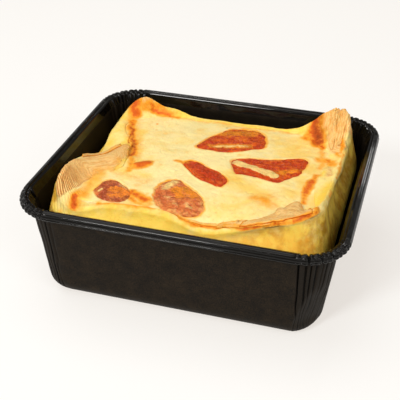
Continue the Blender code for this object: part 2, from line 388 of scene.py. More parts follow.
    @staticmethod
    def mark(piece: Piece, name: str, values: Array) -> None:
        """Store one plain number for each point."""
        attribute = piece.data.attributes.new(name, "FLOAT", "POINT")
        attribute.data.foreach_set("value", values.astype(np.float32))

    @staticmethod
    def finish(piece: Piece, material: Material, slot: Slot, node: str = "") -> None:
        """Dress a piece, fix it to the body and let it stand for its CAD node, if it has one.

        Args:
            piece: The piece.
            material: Its material.
            slot: Its slot in the record; not used.
            node: CAD node that it replaces, empty for none.
        """
        piece.data.materials.clear()
        piece.data.materials.append(material)
        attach(piece, BODY)
        if node:
            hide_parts(node)
        LOG.info("%s: %d faces", piece.name, len(piece.data.polygons))


@dataclass(frozen=True)
class Outline:
    """A rounded rectangle sampled at the same stations at every level."""

    steps_x: int = 150
    steps_y: int = 130
    corner_steps: int = 48

    def places(self, half_x: float, half_y: float, corner: float) -> tuple[Array, Array, Array]:
        """Points of the outline, anticlockwise from the right side's lower end.

        Args:
            half_x: Half of the size along X.
            half_y: Half of the size along Y.
            corner: Radius of the corners.

        Returns:
            The points, their outward normals, and each point's share of its corner's turn,
            which is below zero on the straight sides.
        """
        points = []
        normals = []
        shares = []
        sides = (
            ((half_x, corner - half_y), (half_x, half_y - corner), 0.0, self.steps_y),
            ((half_x - corner, half_y), (corner - half_x, half_y), 90.0, self.steps_x),
            ((-half_x, half_y - corner), (-half_x, corner - half_y), 180.0, self.steps_y),
            ((corner - half_x, -half_y), (half_x - corner, -half_y), 270.0, self.steps_x),
        )
        for start, end, turn, steps in sides:
            angle = math.radians(turn)
            normal = np.array((math.cos(angle), math.sin(angle)))
            share = np.arange(steps)[:, None] / steps
            points.append(np.array(start) + (np.array(end) - np.array(start)) * share)
            normals.append(np.repeat(normal[None], steps, axis=0))
            shares.append(np.full(steps, -1.0))
            share = np.arange(self.corner_steps) / self.corner_steps
            direction = angle + 0.5 * math.pi * share
            around = np.stack((np.cos(direction), np.sin(direction)), axis=1)
            points.append(np.array(end) - corner * normal + corner * around)
            normals.append(around)
            shares.append(share)
        return np.concatenate(points), np.concatenate(normals), np.concatenate(shares)


@dataclass(frozen=True)
class Dent:
    """The press at the tray's front right corner, low down."""

    angle: float = math.radians(-41.0)
    reach: float = 65.9
    top: float = 31.0
    middle: float = 13.5
    lean: float = 0.30
    depth: float = 0.8

    def push(self, places: Array) -> Array:
        """Press points in where the corner is dented.

        Args:
            places: Points in millimetres, one row each.

        Returns:
            The pressed points.
        """
        outward = np.array((math.cos(self.angle), math.sin(self.angle), 0.0))
        height = places[..., 2]
        limit = self.reach + self.lean * (height - self.middle)
        excess = np.maximum(places @ outward - limit, 0.0)
        share = self.depth * (1.0 - smooth_step(0.6 * self.top, self.top, height))
        share = share * (0.4 + 0.6 * smooth_step(0.0, 8.0, height))
        return places - (share * excess)[..., None] * outward


@dataclass(frozen=True)
class TrayForm:
    """Sizes of the pressed board tray in millimetres."""

    length: float = 124.6
    depth: float = 110.5
    height: float = 43.8
    board: float = 0.9
    thickness: float = 0.7
    roll: float = 2.17
    rim_corner: float = 17.1
    floor_half_x: float = 52.9
    floor_half_y: float = 45.8
    floor_corner: float = 8.0
    fillet: float = 7.0
    pleats: int = 9
    pleat_depth: float = 1.15
    crimp_depth: float = 0.95
    crimps: int = 11
    outline: Outline = Outline(40, 36, 144)
    dent: Dent = Dent()

    @property
    def wall_top(self) -> float:
        """Height where the wall meets the rolled rim."""
        return self.height - 2.0 * self.roll

    def half(self, height: float) -> tuple[float, float]:
        """Half sizes of the wall's outer face at a height.

        Args:
            height: Height from the ground.

        Returns:
            Half size along X and half size along Y.
        """
        share = height / self.wall_top
        top_x = 0.5 * self.length - 2.0 * self.roll
        top_y = 0.5 * self.depth - 2.0 * self.roll
        half_x = self.floor_half_x + (top_x - self.floor_half_x) * share
        half_y = self.floor_half_y + (top_y - self.floor_half_y) * share
        return half_x, half_y


class BakingTray:
    """The black board tray: pleated corners, rolled rim and flat floor."""

    fillet_steps = 8
    wall_steps = 20
    roll_steps = 22
    roll_turn = 240.0
    low_pleat = 0.45
    fillet_corner = 0.35

    def __init__(self, form: TrayForm) -> None:
        """Keep the tray's sizes."""
        self.form = form

    def pleat(self, share: Array, height: Array) -> Array:
        """Depth of the folds across a corner, from 0 to 1, in narrow uneven grooves.

        Args:
            share: Share of the corner's turn, below zero off the corner.
            height: Height of each place.

        Returns:
            The depth at each place.
        """
        crumple = 0.018 * np.sin(0.42 * height + 9.0 * share) * (1.0 - smooth_step(12.0, 30.0, height))
        uneven = share + 0.016 * np.sin(share * 23.0) + crumple
        wave = 0.5 - 0.5 * np.cos(2.0 * math.pi * self.form.pleats * uneven)
        depth = 0.65 + 0.35 * np.sin(share * 31.0 + 0.7)
        return np.where(share < 0.0, 0.0, np.clip(depth * wave**4.0, 0.0, 1.0))

    def crimp(self, share: Array) -> Array:
        """Depth of the rim's crimps across a corner, from 0 to 1.

        Args:
            share: Share of the corner's turn, below zero off the corner.

        Returns:
            The depth at each place.
        """
        uneven = share + 0.010 * np.sin(share * 29.0)
        groove = 1.0 - np.abs(np.sin(math.pi * self.form.crimps * uneven))
        depth = 0.7 + 0.3 * np.sin(share * 37.0 + 1.3)
        ends = smooth_step(0.0, 0.04, share) * smooth_step(1.0, 0.96, share)
        return np.where(share < 0.0, 0.0, ends * depth * groove**1.3)

    def ring(self, half_x: float, half_y: float, corner: float, height: float, pleat: float) -> Array:
        """One level of the tray's outer face.

        Args:
            half_x: Half size along X.
            half_y: Half size along Y.
            corner: Plan radius of the corners.
            height: Height of the level.
            pleat: Depth of the pleats there.

        Returns:
            The level's points.
        """
        points, normals, share = self.form.outline.places(half_x, half_y, corner)
        inward = pleat * self.pleat(share, np.full(len(share), height))
        return at_height(points - normals * inward[:, None], height)

    def wall_ring(self, height: float, back: float, pleat: float) -> Array:
        """One level of the wall, drawn back by a distance where it turns into the floor.

        Args:
            height: Height of the level.
            back: Distance that it is drawn back.
            pleat: Depth of the pleats there.

        Returns:
            The level's points.
        """
        form = self.form
        half_x, half_y = form.half(height)
        top_corner = form.rim_corner - 2.0 * form.roll
        corner = form.floor_corner + (top_corner - form.floor_corner) * height / form.wall_top
        return self.ring(half_x - back, half_y - back, corner - self.fillet_corner * back, height, pleat)

    def rings(self) -> Array:
        """Every level, from the floor's edge up the wall and round the rolled rim.

        Returns:
            Places of every ring's points in millimetres: ring, station, axis.
        """
        form = self.form
        levels = []
        for step in range(self.fillet_steps + 1):
            turn = 0.5 * math.pi * step / self.fillet_steps
            height = form.fillet * (1.0 - math.cos(turn))
            back = form.fillet * (1.0 - math.sin(turn))
            pleat = self.low_pleat * form.pleat_depth * (step / self.fillet_steps) ** 2
            levels.append(self.wall_ring(height, back, pleat))
        for step in range(1, self.wall_steps + 1):
            share = step / self.wall_steps
            height = form.fillet + (form.wall_top - form.fillet) * share
            pleat = form.pleat_depth * (self.low_pleat + (1.0 - self.low_pleat) * share)
            levels.append(self.wall_ring(height, 0.0, pleat))
        inner = form.roll - form.board
        for step in range(self.roll_steps + 1):
            share = step / self.roll_steps
            turn = math.radians(180.0 - self.roll_turn * share)
            radius = inner + 0.10 * math.sin(9.0 * turn) * (share > 0.15)
            inset = form.roll - radius * math.cos(turn)
            height = form.height - form.roll + radius * math.sin(turn)
            pleat = form.pleat_depth * 0.6 * max(0.0, 1.0 - 4.0 * share)
            half_x = 0.5 * form.length - inset
            half_y = 0.5 * form.depth - inset
            levels.append(self.ring(half_x, half_y, form.rim_corner - inset, height, pleat))
        return np.stack(levels)

    def build(self, matt: Material, glossy: Material) -> Piece:
        """Make the tray, give its board its thickness and dress it.

        Args:
            matt: Material of the floor and the walls.
            glossy: Material of the rolled rim.

        Returns:
            The finished tray.
        """
        tray = Skin.pull_up("baking_tray", self.rings(), close_end=False)
        self.face_down(tray)
        self.soften(tray)
        Skin.solidify(tray, self.form.thickness)
        self.paint(tray)
        self.gather(tray)
        Skin.finish(tray, matt, Slot.BOARD, "tray")
        tray.data.materials.append(glossy)
        for face in tray.data.polygons:
            face.material_index = 1 if face.center.z > self.form.wall_top * MM else 0
        return tray

    @staticmethod
    def face_down(tray: Piece) -> None:
        """Turn the faces so that the floor's look down and the board grows inwards.

        Args:
            tray: The tray, still a single sheet.
        """
        lowest = min(tray.data.polygons, key=lambda face: face.center.length)
        if lowest.normal.z > 0.0:
            Skin.only(tray)
            with Skin.editing():
                bpy.ops.mesh.select_all(action="SELECT")
                bpy.ops.mesh.flip_normals()

    def soften(self, tray: Piece) -> None:
        """Give the board a little unevenness, none on its floor.

        Args:
            tray: The tray, still a single sheet.
        """
        places = Skin.points(tray)
        height = places[:, 2]
        wall = smooth_step(1.0, 10.0, height) * (1.0 - smooth_step(36.0, 40.0, height))
        rim = smooth_step(39.0, 41.0, height)
        along = places * np.array((0.35, 0.35, 1.0))
        lift = 0.16 * wall * rough(places, 14.0, 3) - 0.05 * rim * np.abs(rough(along, 3.4, 2, 4.0))
        Skin.relief(tray, lift)

    def corner(self, places: Array) -> tuple[Array, Array, Array]:
        """Where points lie in the tray's corners.

        Args:
            places: Points in millimetres.

        Returns:
            Share of the corner's turn, below zero off the corners; distances from its middle
            along X and Y.
        """
        over_x = np.abs(places[:, 0]) - (0.5 * self.form.length - self.form.rim_corner)
        over_y = np.abs(places[:, 1]) - (0.5 * self.form.depth - self.form.rim_corner)
        turn = np.arctan2(over_y, over_x) / (0.5 * math.pi)
        share = np.where(places[:, 0] * places[:, 1] < 0.0, 1.0 - turn, turn)
        return np.where((over_x > 0.0) & (over_y > 0.0), share, -1.0), over_x, over_y

    def paint(self, tray: Piece) -> None:
        """Paint shade on the inner faces, in the folds and in the rim's crimps, and a highlight on the
        ridges between the folds, for the finishes.

        Args:
            tray: The tray, before its rim is crimped.
        """
        places = Skin.points(tray)
        height = places[:, 2]
        normals = Skin.normals(tray)
        share, _, _ = self.corner(places)
        pleat = self.pleat(share, height)
        rim = smooth_step(38.6, 40.4, height)
        channels = np.zeros((len(places), 4))
        inwards = np.sum(normals[:, :2] * places[:, :2], axis=1) < 0.0
        ridge_highlight = (share > 0.0) * (1.0 - smooth_step(0.02, 0.3, pleat))
        # Painted shade on the inner faces and in the pleats and crimps, painted highlight on the ridges
        # between the pleats.
        channels[:, Coat.INSIDE.value] = inwards * (1.0 - rim)
        channels[:, Coat.FOLD.value] = pleat * (1.0 - rim) + self.crimp(share) * rim
        channels[:, Coat.RIDGE.value] = ridge_highlight * (smooth_step(4.0, 12.0, height) * (1.0 - rim))
        Skin.paint(tray, "coating", channels)

    def gather(self, tray: Piece) -> None:
        """Crimp the rolled rim at the corners and press in the dent.

        Args:
            tray: The tray.
        """
        form = self.form
        places = Skin.points(tray)
        share, over_x, over_y = self.corner(places)
        reach = np.maximum(np.hypot(over_x, over_y), 0.001)
        out = reach - (form.rim_corner - form.roll)
        rise = places[:, 2] - (form.height - form.roll)
        radius = np.maximum(np.hypot(out, rise), 0.001)
        rim = smooth_step(form.wall_top - 0.5, form.wall_top + 1.0, places[:, 2])
        move = -form.crimp_depth * self.crimp(share) * rim
        pull = move * out / (radius * reach)
        places[:, 0] += np.sign(places[:, 0]) * over_x * pull
        places[:, 1] += np.sign(places[:, 1]) * over_y * pull
        places[:, 2] += move * rise / radius
        Skin.press(tray, form.dent.push(places))


FILL_HILLS = (
    Hill(11.0, -42.0, 7.5, 6.0, -4.4),
)
CREST_HILLS = (
    Hill(-43.0, 44.0, 6.0, 5.5, 7.0),
    Hill(-29.0, 44.0, 4.5, 4.0, 2.2),
    Hill(-51.0, 6.0, 7.0, 8.0, -6.0),
    Hill(-50.0, -25.0, 9.0, 9.0, 5.6),
    Hill(-42.0, -42.0, 7.0, 5.0, -4.2),
    Hill(-14.0, -41.0, 9.0, 5.0, 1.2),
    Hill(51.0, -37.0, 13.0, 13.0, 8.6),
    Hill(51.0, -6.0, 7.0, 12.0, 1.8),
)
LIP_HILLS = (
    Hill(-47.0, 42.0, 8.0, 7.0, 5.5),
    Hill(-51.0, 14.0, 8.0, 7.0, 6.0),
    Hill(-51.0, -10.0, 8.0, 17.0, 15.0),
    Hill(-51.0, -21.0, 8.0, 4.5, 4.0),
    Hill(51.0, 0.0, 8.0, 16.0, 5.0),
    Hill(47.0, 40.0, 9.0, 10.0, 10.0),
    Hill(48.0, -38.5, 6.0, 6.0, 14.5),
    Hill(23.0, -42.0, 6.0, 4.0, 2.4),
)
FLAP_HILLS = (
    Hill(-50.0, -9.0, 14.0, 14.0, 0.8),
    Hill(45.0, -38.0, 12.0, 11.0, 1.9),
    Hill(23.0, -41.0, 7.0, 6.0, 0.9),
)
UNDERCUT_HILLS = (
    Hill(51.0, -4.0, 7.0, 22.0, 1.0),
    Hill(30.0, -43.0, 16.0, 5.0, 0.9),
    Hill(-51.0, 14.0, 6.0, 9.0, 0.6),
)
LEFT_CREASE = Hill(-37.5, 11.0, 5.0, 13.0, 0.85)
EAR_INNER = Hill(46.5, 42.0, 9.0, 9.5, 15.1)
EAR_OUTER = Hill(46.5, 42.0, 4.5, 9.5, 15.1)
EAR_NOTCH = Hill(45.8, 44.0, 1.4, 3.0, -2.0)
EAR_FLAKES = Hill(47.0, 40.0, 8.0, 11.0, 1.0)
LEFT_FLAKES = Hill(-49.0, -31.0, 7.0, 8.0, 1.0)
RIGHT_FLAKES = Hill(42.0, -36.0, 9.0, 7.0, 1.0)
LEFT_COMB = Hill(-46.0, -33.5, 3.4, 5.2, 1.0)


@dataclass(frozen=True)
class QuicheForm:
    """The shape that pastry, custard and tomatoes share, in millimetres."""

    tray: TrayForm = TrayForm()
    outline: Outline = Outline()
    half_x: float = 50.4
    half_y: float = 42.7
    centre_y: float = 1.3
    corner: float = 11.0
    bulge_height: float = 24.0
    bulge_inset: float = 1.3
    sag: float = 1.0
    wall: float = 3.6
    floor: float = 3.0
    floor_inset: float = 10.5
    inner_corner: float = 10.0
    lip_edge: float = 0.9
    gap: float = 0.4
    rim_width: float = 1.2
    shoulder_drop: float = 3.6
    fill: float = 40.0
    slope: float = -0.05
    dome: float = 1.2

    def fill_height(self, x: Array, y: Array) -> Array:
        """Height of the filling's top at places of the plan.

        Args:
            x: Places along X.
            y: Places along Y.

        Returns:
            The height at each place.
        """
        dome = (1.0 - (x / self.half_x) ** 2) * (1.0 - (y / self.half_y) ** 2)
        waves = 0.25 * np.sin(0.31 * x + 0.6) * np.cos(0.23 * y)
        return self.fill + self.slope * y + self.dome * dome + waves + add_hills(FILL_HILLS, x, y)

    def crest_lift(self, x: Array, y: Array) -> Array:
        """How far the pastry's crest stands above or below the filling."""
        ear = np.where(x < EAR_INNER.x, EAR_INNER.at(x, y), EAR_OUTER.at(x, y))
        return 0.6 + add_hills(CREST_HILLS, x, y) + ear + EAR_NOTCH.at(x, y)

    def crest_height(self, x: Array, y: Array) -> Array:
        """Height of the pastry's crest over places of the plan."""
        return self.fill_height(x, y) + self.crest_lift(x, y)

    def lip_width(self, x: Array, y: Array) -> Array:
        """How far the pastry reaches in over the filling from its crest."""
        return 2.6 + add_hills(LIP_HILLS, x, y)

    def flap_lift(self, x: Array, y: Array) -> Array:
        """Height of the folded pastry above the filling at the lip."""
        return 0.2 + add_hills(FLAP_HILLS, x, y)

    def crest_plan(self) -> Array:
        """Plan of the crest line."""
        points = self.outline.places(self.half_x, self.half_y, self.corner)[0]
        return points + np.array((0.0, self.centre_y))

    def beyond(self, x: Array, y: Array) -> Array:
        """Share of the outer faces: 0 inside the crest line, 1 outside it.

        Args:
            x: Places along X.
            y: Places along Y.

        Returns:
            The share at each place.
        """
        over_x = np.abs(x) - (self.half_x - self.corner)
        over_y = np.abs(y - self.centre_y) - (self.half_y - self.corner)
        outer = np.hypot(np.maximum(over_x, 0.0), np.maximum(over_y, 0.0)) - self.corner
        return smooth_step(-1.4, -0.2, outer + np.minimum(np.maximum(over_x, over_y), 0.0))

    @staticmethod
    def inward(plan: Array, distance: Array) -> Array:
        """Places moved towards the middle by a distance."""
        reach = np.hypot(plan[:, 0], plan[:, 1])
        return plan * (1.0 - distance / reach)[:, None]

    def side(self, height: float, inset: float, corner: float, sag: float = 0.0) -> Array:
        """A level of the case's outer side, a little inside the tray.

        Args:
            height: Height of the level.
            inset: Distance from the tray's inner face.
            corner: Radius of the corners.
            sag: How far the front and the right bulge out.

        Returns:
            The level's points.
        """
        half_x, half_y = self.tray.half(height)
        half_x = half_x - self.tray.board - inset
        half_y = half_y - self.tray.board - inset
        plan = self.outline.places(half_x, half_y, corner)[0]
        right = smooth_step(0.3, 0.9, plan[:, 0] / half_x)
        front = smooth_step(0.3, 0.9, -plan[:, 1] / half_y)
        plan = self.inward(plan, -sag * np.maximum(right, front))
        return self.tray.dent.push(at_height(plan, height))

    def crest(self, outward: float, drop: float) -> Array:
        """A level near the crest, moved out from it and down, less where it is undercut.

        Args:
            outward: Distance out from the crest line.
            drop: Distance below the crest.

        Returns:
            The level's points.
        """
        plan = self.crest_plan()
        height = self.crest_height(*plan.T) - drop
        share = 1.0 - np.minimum(add_hills(UNDERCUT_HILLS, *plan.T), 1.0)
        moved = self.inward(plan, -outward * share)
        return at_height(moved, height)

    def lip(self, share: float, thickness: float) -> Array:
        """A level between the crest and the edge of the lip on the filling.

        Args:
            share: Share of the way from the crest, 0, to the lip's edge, 1.
            thickness: Distance below the lip's upper face.

        Returns:
            The level's points.
        """
        plan = self.crest_plan()
        reach = self.rim_width + share * (self.lip_width(*plan.T) - self.rim_width)
        moved = self.inward(plan, reach)
        crest = self.crest_height(*plan.T)
        lip = self.fill_height(*moved.T) + self.flap_lift(*plan.T)
        ease = 1.0 - max(1.0 - share, 0.0) ** 1.7
        height = crest + (lip - crest) * ease - thickness
        return at_height(moved, height)

    def inner(self, height: float, wall: float) -> Array:
        """A level of the case's inner wall.

        Args:
            height: Height of the level.
            wall: Distance from the tray's inner face.

        Returns:
            The level's points.
        """
        half_x, half_y = self.tray.half(height)
        inset = self.tray.board + wall
        plan = self.outline.places(half_x - inset, half_y - inset, self.inner_corner)[0]
        return self.tray.dent.push(at_height(plan, height))

    def shoulder(self, shift: float) -> Array:
        """Top of the inner wall, under the crest.

        Args:
            shift: Distance in and down from the case's inner face.

        Returns:
            The level's points.
        """
        plan = self.crest_plan()
        moved = self.inward(plan, np.full(len(plan), self.wall + shift))
        fill = self.fill_height(*plan.T)
        lowest = np.minimum(fill, fill + self.crest_lift(*plan.T))
        return at_height(moved, lowest - self.shoulder_drop - shift)


def refine(rings: Sequence[Array], steps: Sequence[int]) -> Array:
    """Smooth levels between given rings.

    Args:
        rings: The rings that the surface passes through.
        steps: Number of levels from each ring to the next one.

    Returns:
        All levels, the first and the last ring included.
    """
    levels = []
    last = len(rings) - 1
    for index in range(last):
        before = rings[max(index - 1, 0)]
        start = rings[index]
        end = rings[index + 1]
        after = rings[min(index + 2, last)]
        for step in range(steps[index]):
            t = step / steps[index]
            bend = 2.0 * before - 5.0 * start + 4.0 * end - after
            twist = 3.0 * start - before - 3.0 * end + after
            levels.append(0.5 * (2.0 * start + (end - before) * t + bend * t**2 + twist * t**3))
    levels.append(rings[last])
    return np.stack(levels)


def browning() -> list[Stroke]:
    """Where the oven browned the top, the crest and the folds, with the thin shadow along the front left
    flap's back edge painted in.

    Returns:
        The strokes, brown and dark.
    """
    brown = Tint.BROWN
    left_fold = [(-44.6, 32.0), (-42.6, 25.0), (-39.5, 18.6), (-36.3, 11.3), (-33.4, 4.6), (-32.3, -1.7)]
    low_fold = [(-32.3, -1.7), (-29.8, -9.4), (-28.9, -14.6)]
    band_edge = [(-43.6, -1.9), (-41.5, 4.0), (-37.5, 7.4), (-40.3, 18.3)]
    front_left = [(-31.0, -40.0), (-22.1, -40.2), (-14.3, -40.6), (-7.8, -39.6), (-2.5, -38.6)]
    front_fold = [(-2.5, -38.6), (3.1, -39.8), (12.5, -39.2), (19.0, -39.2), (24.0, -41.2), (31.0, -41.5)]
    right_fold = [(24.0, -41.2), (31.0, -41.5), (40.6, -41.5), (47.6, -38.7), (49.8, -35.5)]
    right_low = [(42.0, 5.9), (41.2, -0.7), (40.2, -7.5), (40.5, -11.3), (40.9, -17.3)]
    right_high = [(40.3, 29.8), (42.4, 18.0), (42.1, 12.5)]
    ear = [(34.0, 41.6), (35.8, 39.0), (37.6, 34.2), (40.3, 29.8)]
    strokes = [
        *marks(brown, (
            (-46, 39.6, -45, 36, 2.6, 0.95, 2.6), (-42.5, 40, -39, 41.4, 1.3, 0.6, 1.8),
            (-45.6, 34.5, -43.2, 27, 2.2, 0.45, 2.8), (-38.6, 41.4, -34.2, 41.4, 1.5, 0.95, 1.8),
            (-34.2, 41.6, -26.4, 40.6, 1.2, 0.75, 1.8), (-26, 41, 30, 41, 1, 0.32, 2.2),
            (-26.6, -9.6, -24.2, -6.2, 2.4, 1, 2.2), (-28.6, -12, -26, -10, 1.4, 0.6, 2),
            (-40.9, -38.4, -41, -40.6, 1.6, 1, 1.8), (-39.8, -36, -41, -42, 3.2, 0.5, 3.4),
            (-22, -29.5, -15, -33, 1.9, 0.85, 2.2), (-21.6, -33.6, -19, -34.6, 1, 0.8, 1.8),
            (-18.5, -35.5, -13, -36.5, 1.2, 0.5, 1.8), (-16, -30, -12, -36, 1, 0.5, 1.6),
            (-36, -16, -22, -20, 2.6, 0.3, 4), (-38.6, -19, -39.6, -33, 2.6, 0.34, 3),
            (-35, -8, -33.4, -16, 1.4, 0.34, 2.4), (-21.9, -24, -19, -20, 2, 0.3, 3),
            (24, -19.7, 29.7, -22.9, 2.6, 0.52, 3.6), (26.3, -16.4, 30, -17.5, 1.6, 0.34, 3),
            (-10.6, -2, -14.2, -1, 0.9, 0.7, 1.5), (-33.1, 31.4, -32.9, 31.4, 0.45, 0.9, 0.6),
            (-28.6, 38.2, -28.4, 38.2, 0.3, 0.8, 0.5), (-31.2, 25.5, -31, 25.5, 0.3, 0.6, 0.5),
            (34.6, 41, 37.6, 34, 2.8, 1, 2.4), (43.6, 19.6, 46.6, 16.4, 1.6, 0.7, 2.4),
            (32.6, 41, 32, 37, 1.6, 0.7, 2.4), (40.6, 19, 46, 18.5, 1.8, 0.62, 2.6),
            (46.5, 24.5, 48.6, 22.5, 1, 0.55, 1.6), (41.4, 1, 40.3, -9, 1.7, 0.9, 1.8),
            (47.8, 31, 48.6, 26, 0.8, 0.7, 1.2), (49.6, 24, 49.9, 4, 0.5, 0.55, 1),
            (50, -10, 50.8, -20, 0.5, 0.5, 0.9), (46.6, -33.4, 48.8, -34.6, 1, 0.85, 1.4),
            (33, -43, 42, -43.4, 0.7, 0.5, 1.4),
        )),
        *marks(Tint.DARK, (
            (-3.3, 36.7, -2.9, 36.7, 0.35, 1, 0.25), (35.6, 41, 38, 34.6, 1.8, 0.75, 2.4),
        )),
    ]
    lines = (
        (left_fold, 1.4, brown, 0.85, 1.9),
        (low_fold, 1.1, brown, 0.62, 1.8),
        (left_fold, 3.6, brown, 0.34, 3.4),
        # Browning along the front left flap's back edge, with the thin shadow of the flap's step painted
        # in.
        (band_edge, 0.35, brown, 1.0, 0.6),
        ([(-49.5, -8.0), *band_edge[:1]], 0.3, brown, 0.8, 0.6),
        (front_left, 0.6, brown, 0.75, 1.3),
        (front_fold, 0.7, brown, 0.95, 1.3),
        (right_fold, 0.9, brown, 1.0, 1.3),
        (right_low, 1.0, brown, 0.8, 1.9),
        (right_high, 1.2, brown, 0.5, 2.2),
        (ear, 1.3, brown, 0.8, 1.8),
        # Painted shadow of the front left flap's step, along its back edge.
        (band_edge[2:], 0.25, Tint.DARK, 0.6, 0.4),
        (left_fold[1:], 0.35, Tint.DARK, 0.5, 0.6),
        (right_fold[1:], 0.3, Tint.DARK, 0.55, 0.5),
        (front_left, 2.6, brown, 0.30, 2.8),
    )
    for line in lines:
        strokes += chain(*line)
    return strokes


def creaming() -> list[Stroke]:
    """Where dry flaky layers of the pastry show, pale and matt.

    Returns:
        The strokes.
    """
    return marks(Tint.CREAM, (
        (-49, -34, -44.5, -22, 4.6, 1, 2.2), (-44.5, -22, -38.5, -4, 5.6, 1, 3),
        (-50, -10, -41, 0, 4, 1, 1.6), (-38.4, -6, -37.8, 2.6, 2.8, 1, 1.2),
        (-37.8, -6, -36.4, -15, 2.6, 0.9, 2.4), (-51, -38, -52, -22, 4, 1, 2),
        (-43.5, 42.6, -40, 42.4, 2, 0.95, 1.4), (41.5, 42.5, 49.5, 38, 4.4, 1, 2),
        (43.6, 38, 46.8, 27, 3.2, 1, 2), (45.5, 13, 46.6, 6, 1.8, 0.7, 2.2),
        (37, -33, 34, -39.5, 3.4, 1, 1.4), (40.5, -31, 46.5, -35.5, 3.4, 1, 1.4),
        (17, -38.4, 31, -37.6, 1.6, 0.9, 1.2), (51.5, -37, 48.5, -43, 2.2, 0.6, 2.6),
    ))


def gilding() -> list[Stroke]:
    """Where the yellow is deeper.

    Returns:
        The strokes.
    """
    return marks(Tint.GOLD, (
        (-38.5, -22, -37.5, -37, 2.6, 0.9, 3.5), (-34, -14, -22, -16, 2.6, 0.6, 4.5),
        (48, -4, 47, -20, 2.4, 1, 3.2), (44, -12, 45, -24, 3.2, 0.6, 4),
        (-50, 38, -50, 12, 6, 0.4, 5), (-30, 42, 30, 42, 3.4, 0.6, 5.5), (32, 34, 39, 8, 6, 0.7, 9),
        (39, 8, 36, -16, 4, 0.6, 8), (-40, 22, -30, -6, 4.5, 0.75, 5.5),
        (-60, -46, 60, -46, 4.5, 0.95, 2.4), (56, -46, 56, 46, 4, 0.9, 3),
        (-56, -46, -56, 46, 3.5, 0.5, 3), (14, -30, 34, -14, 6, 0.6, 9), (24, 32, 30, 20, 6, 0.8, 9),
        (12, -8, 24, -16, 5.5, 0.85, 8), (-30, 20, -20, 6, 2.5, 0.5, 5), (-16, 20, -8, 30, 3, 0.5, 6),
        (10, 38, 30, 30, 4, 0.4, 7), (-20, -36, 20, -34, 3, 0.55, 5),
    ))


def tints(places: Array) -> Array:
    """Painted channels at points, one column for each tint.

    Args:
        places: Points in millimetres, one row each.

    Returns:
        The channels, one row for each point.
    """
    channels = np.zeros((len(places), 4))
    x = places[:, 0] + 0.8 * rough(places, 4.0, 3, 1.0)
    y = places[:, 1] + 0.8 * rough(places, 4.0, 3, 6.0)
    for stroke in browning() + creaming() + gilding():
        blend(channels, stroke.tint, stroke.at(x, y))
    blend(channels, Tint.GOLD, 1.0 - smooth_step(30.0, 37.0, places[:, 2]))
    channels[:, Tint.CREAM.value] *= smooth_step(33.0, 38.0, places[:, 2])
    form = QuicheForm()
    plan = places.T[:2]
    depth = form.crest_height(*plan) - places[:, 2]
    beyond = form.beyond(*plan)
    channels[:, Tint.CREAM.value] *= 1.0 - 0.9 * beyond * smooth_step(1.0, 2.6, depth)
    channels[:, Tint.BROWN.value] *= 1.0 - beyond * smooth_step(0.6, 2.0, depth)
    # Painted shadow: brown laid low on the outer front face below the crest, strongest near x = 7, where
    # the rim and the overhang above shade it.
    front = smooth_step(-4.0, 6.0, plan[0]) * smooth_step(-36.0, -42.0, plan[1])
    front = front * (0.24 + 0.34 * bell(plan[0], 7.0, 6.0))
    blend(channels, Tint.BROWN, beyond * front * smooth_step(1.0, 6.0, depth))
    channels[:, Tint.DARK.value] *= 1.0 - beyond * smooth_step(0.3, 1.0, depth)
    return channels


def fibres(places: Array) -> Array:
    """Number that grows across the pastry's fibres, so its level lines are the fibres.

    Args:
        places: Points in millimetres.

    Returns:
        One value for each point, in millimetres across the fibres.
    """
    x, y = places.T[:2]
    phase = x + y
    fields = (
        (Hill(46.0, 38.0, 8.0, 9.0, 1.0), 1.0, 0.08),
        (Hill(-47.0, -35.0, 6.0, 7.0, 1.0), 0.93, 0.37),
        (Hill(-42.0, -12.0, 7.0, 9.0, 1.0), 0.80, -0.60),
        (Hill(38.0, -34.0, 9.0, 7.0, 1.0), 0.75, -0.66),
    )
    for hill, across_x, across_y in fields:
        own = across_x * (x - hill.x) + across_y * (y - hill.y) + hill.x + hill.y
        phase = phase + hill.share(x, y) * (own - phase)
    return phase + 0.35 * rough(places, 4.0, 3, 11.0)


def dress_baked(piece: Piece, places: Array, outside: Array) -> None:
    """Paint the attributes that the baked finish reads.

    Args:
        piece: Pastry or custard.
        places: Its points before any relief, in millimetres.
        outside: Share of the painted shade on the outer side at each point.
    """
    Skin.paint(piece, "bake", tints(places))
    Skin.mark(piece, "fibre", fibres(places))
    Skin.mark(piece, "comb", LEFT_COMB.share(*places.T[:2]))
    Skin.mark(piece, "outside", outside)


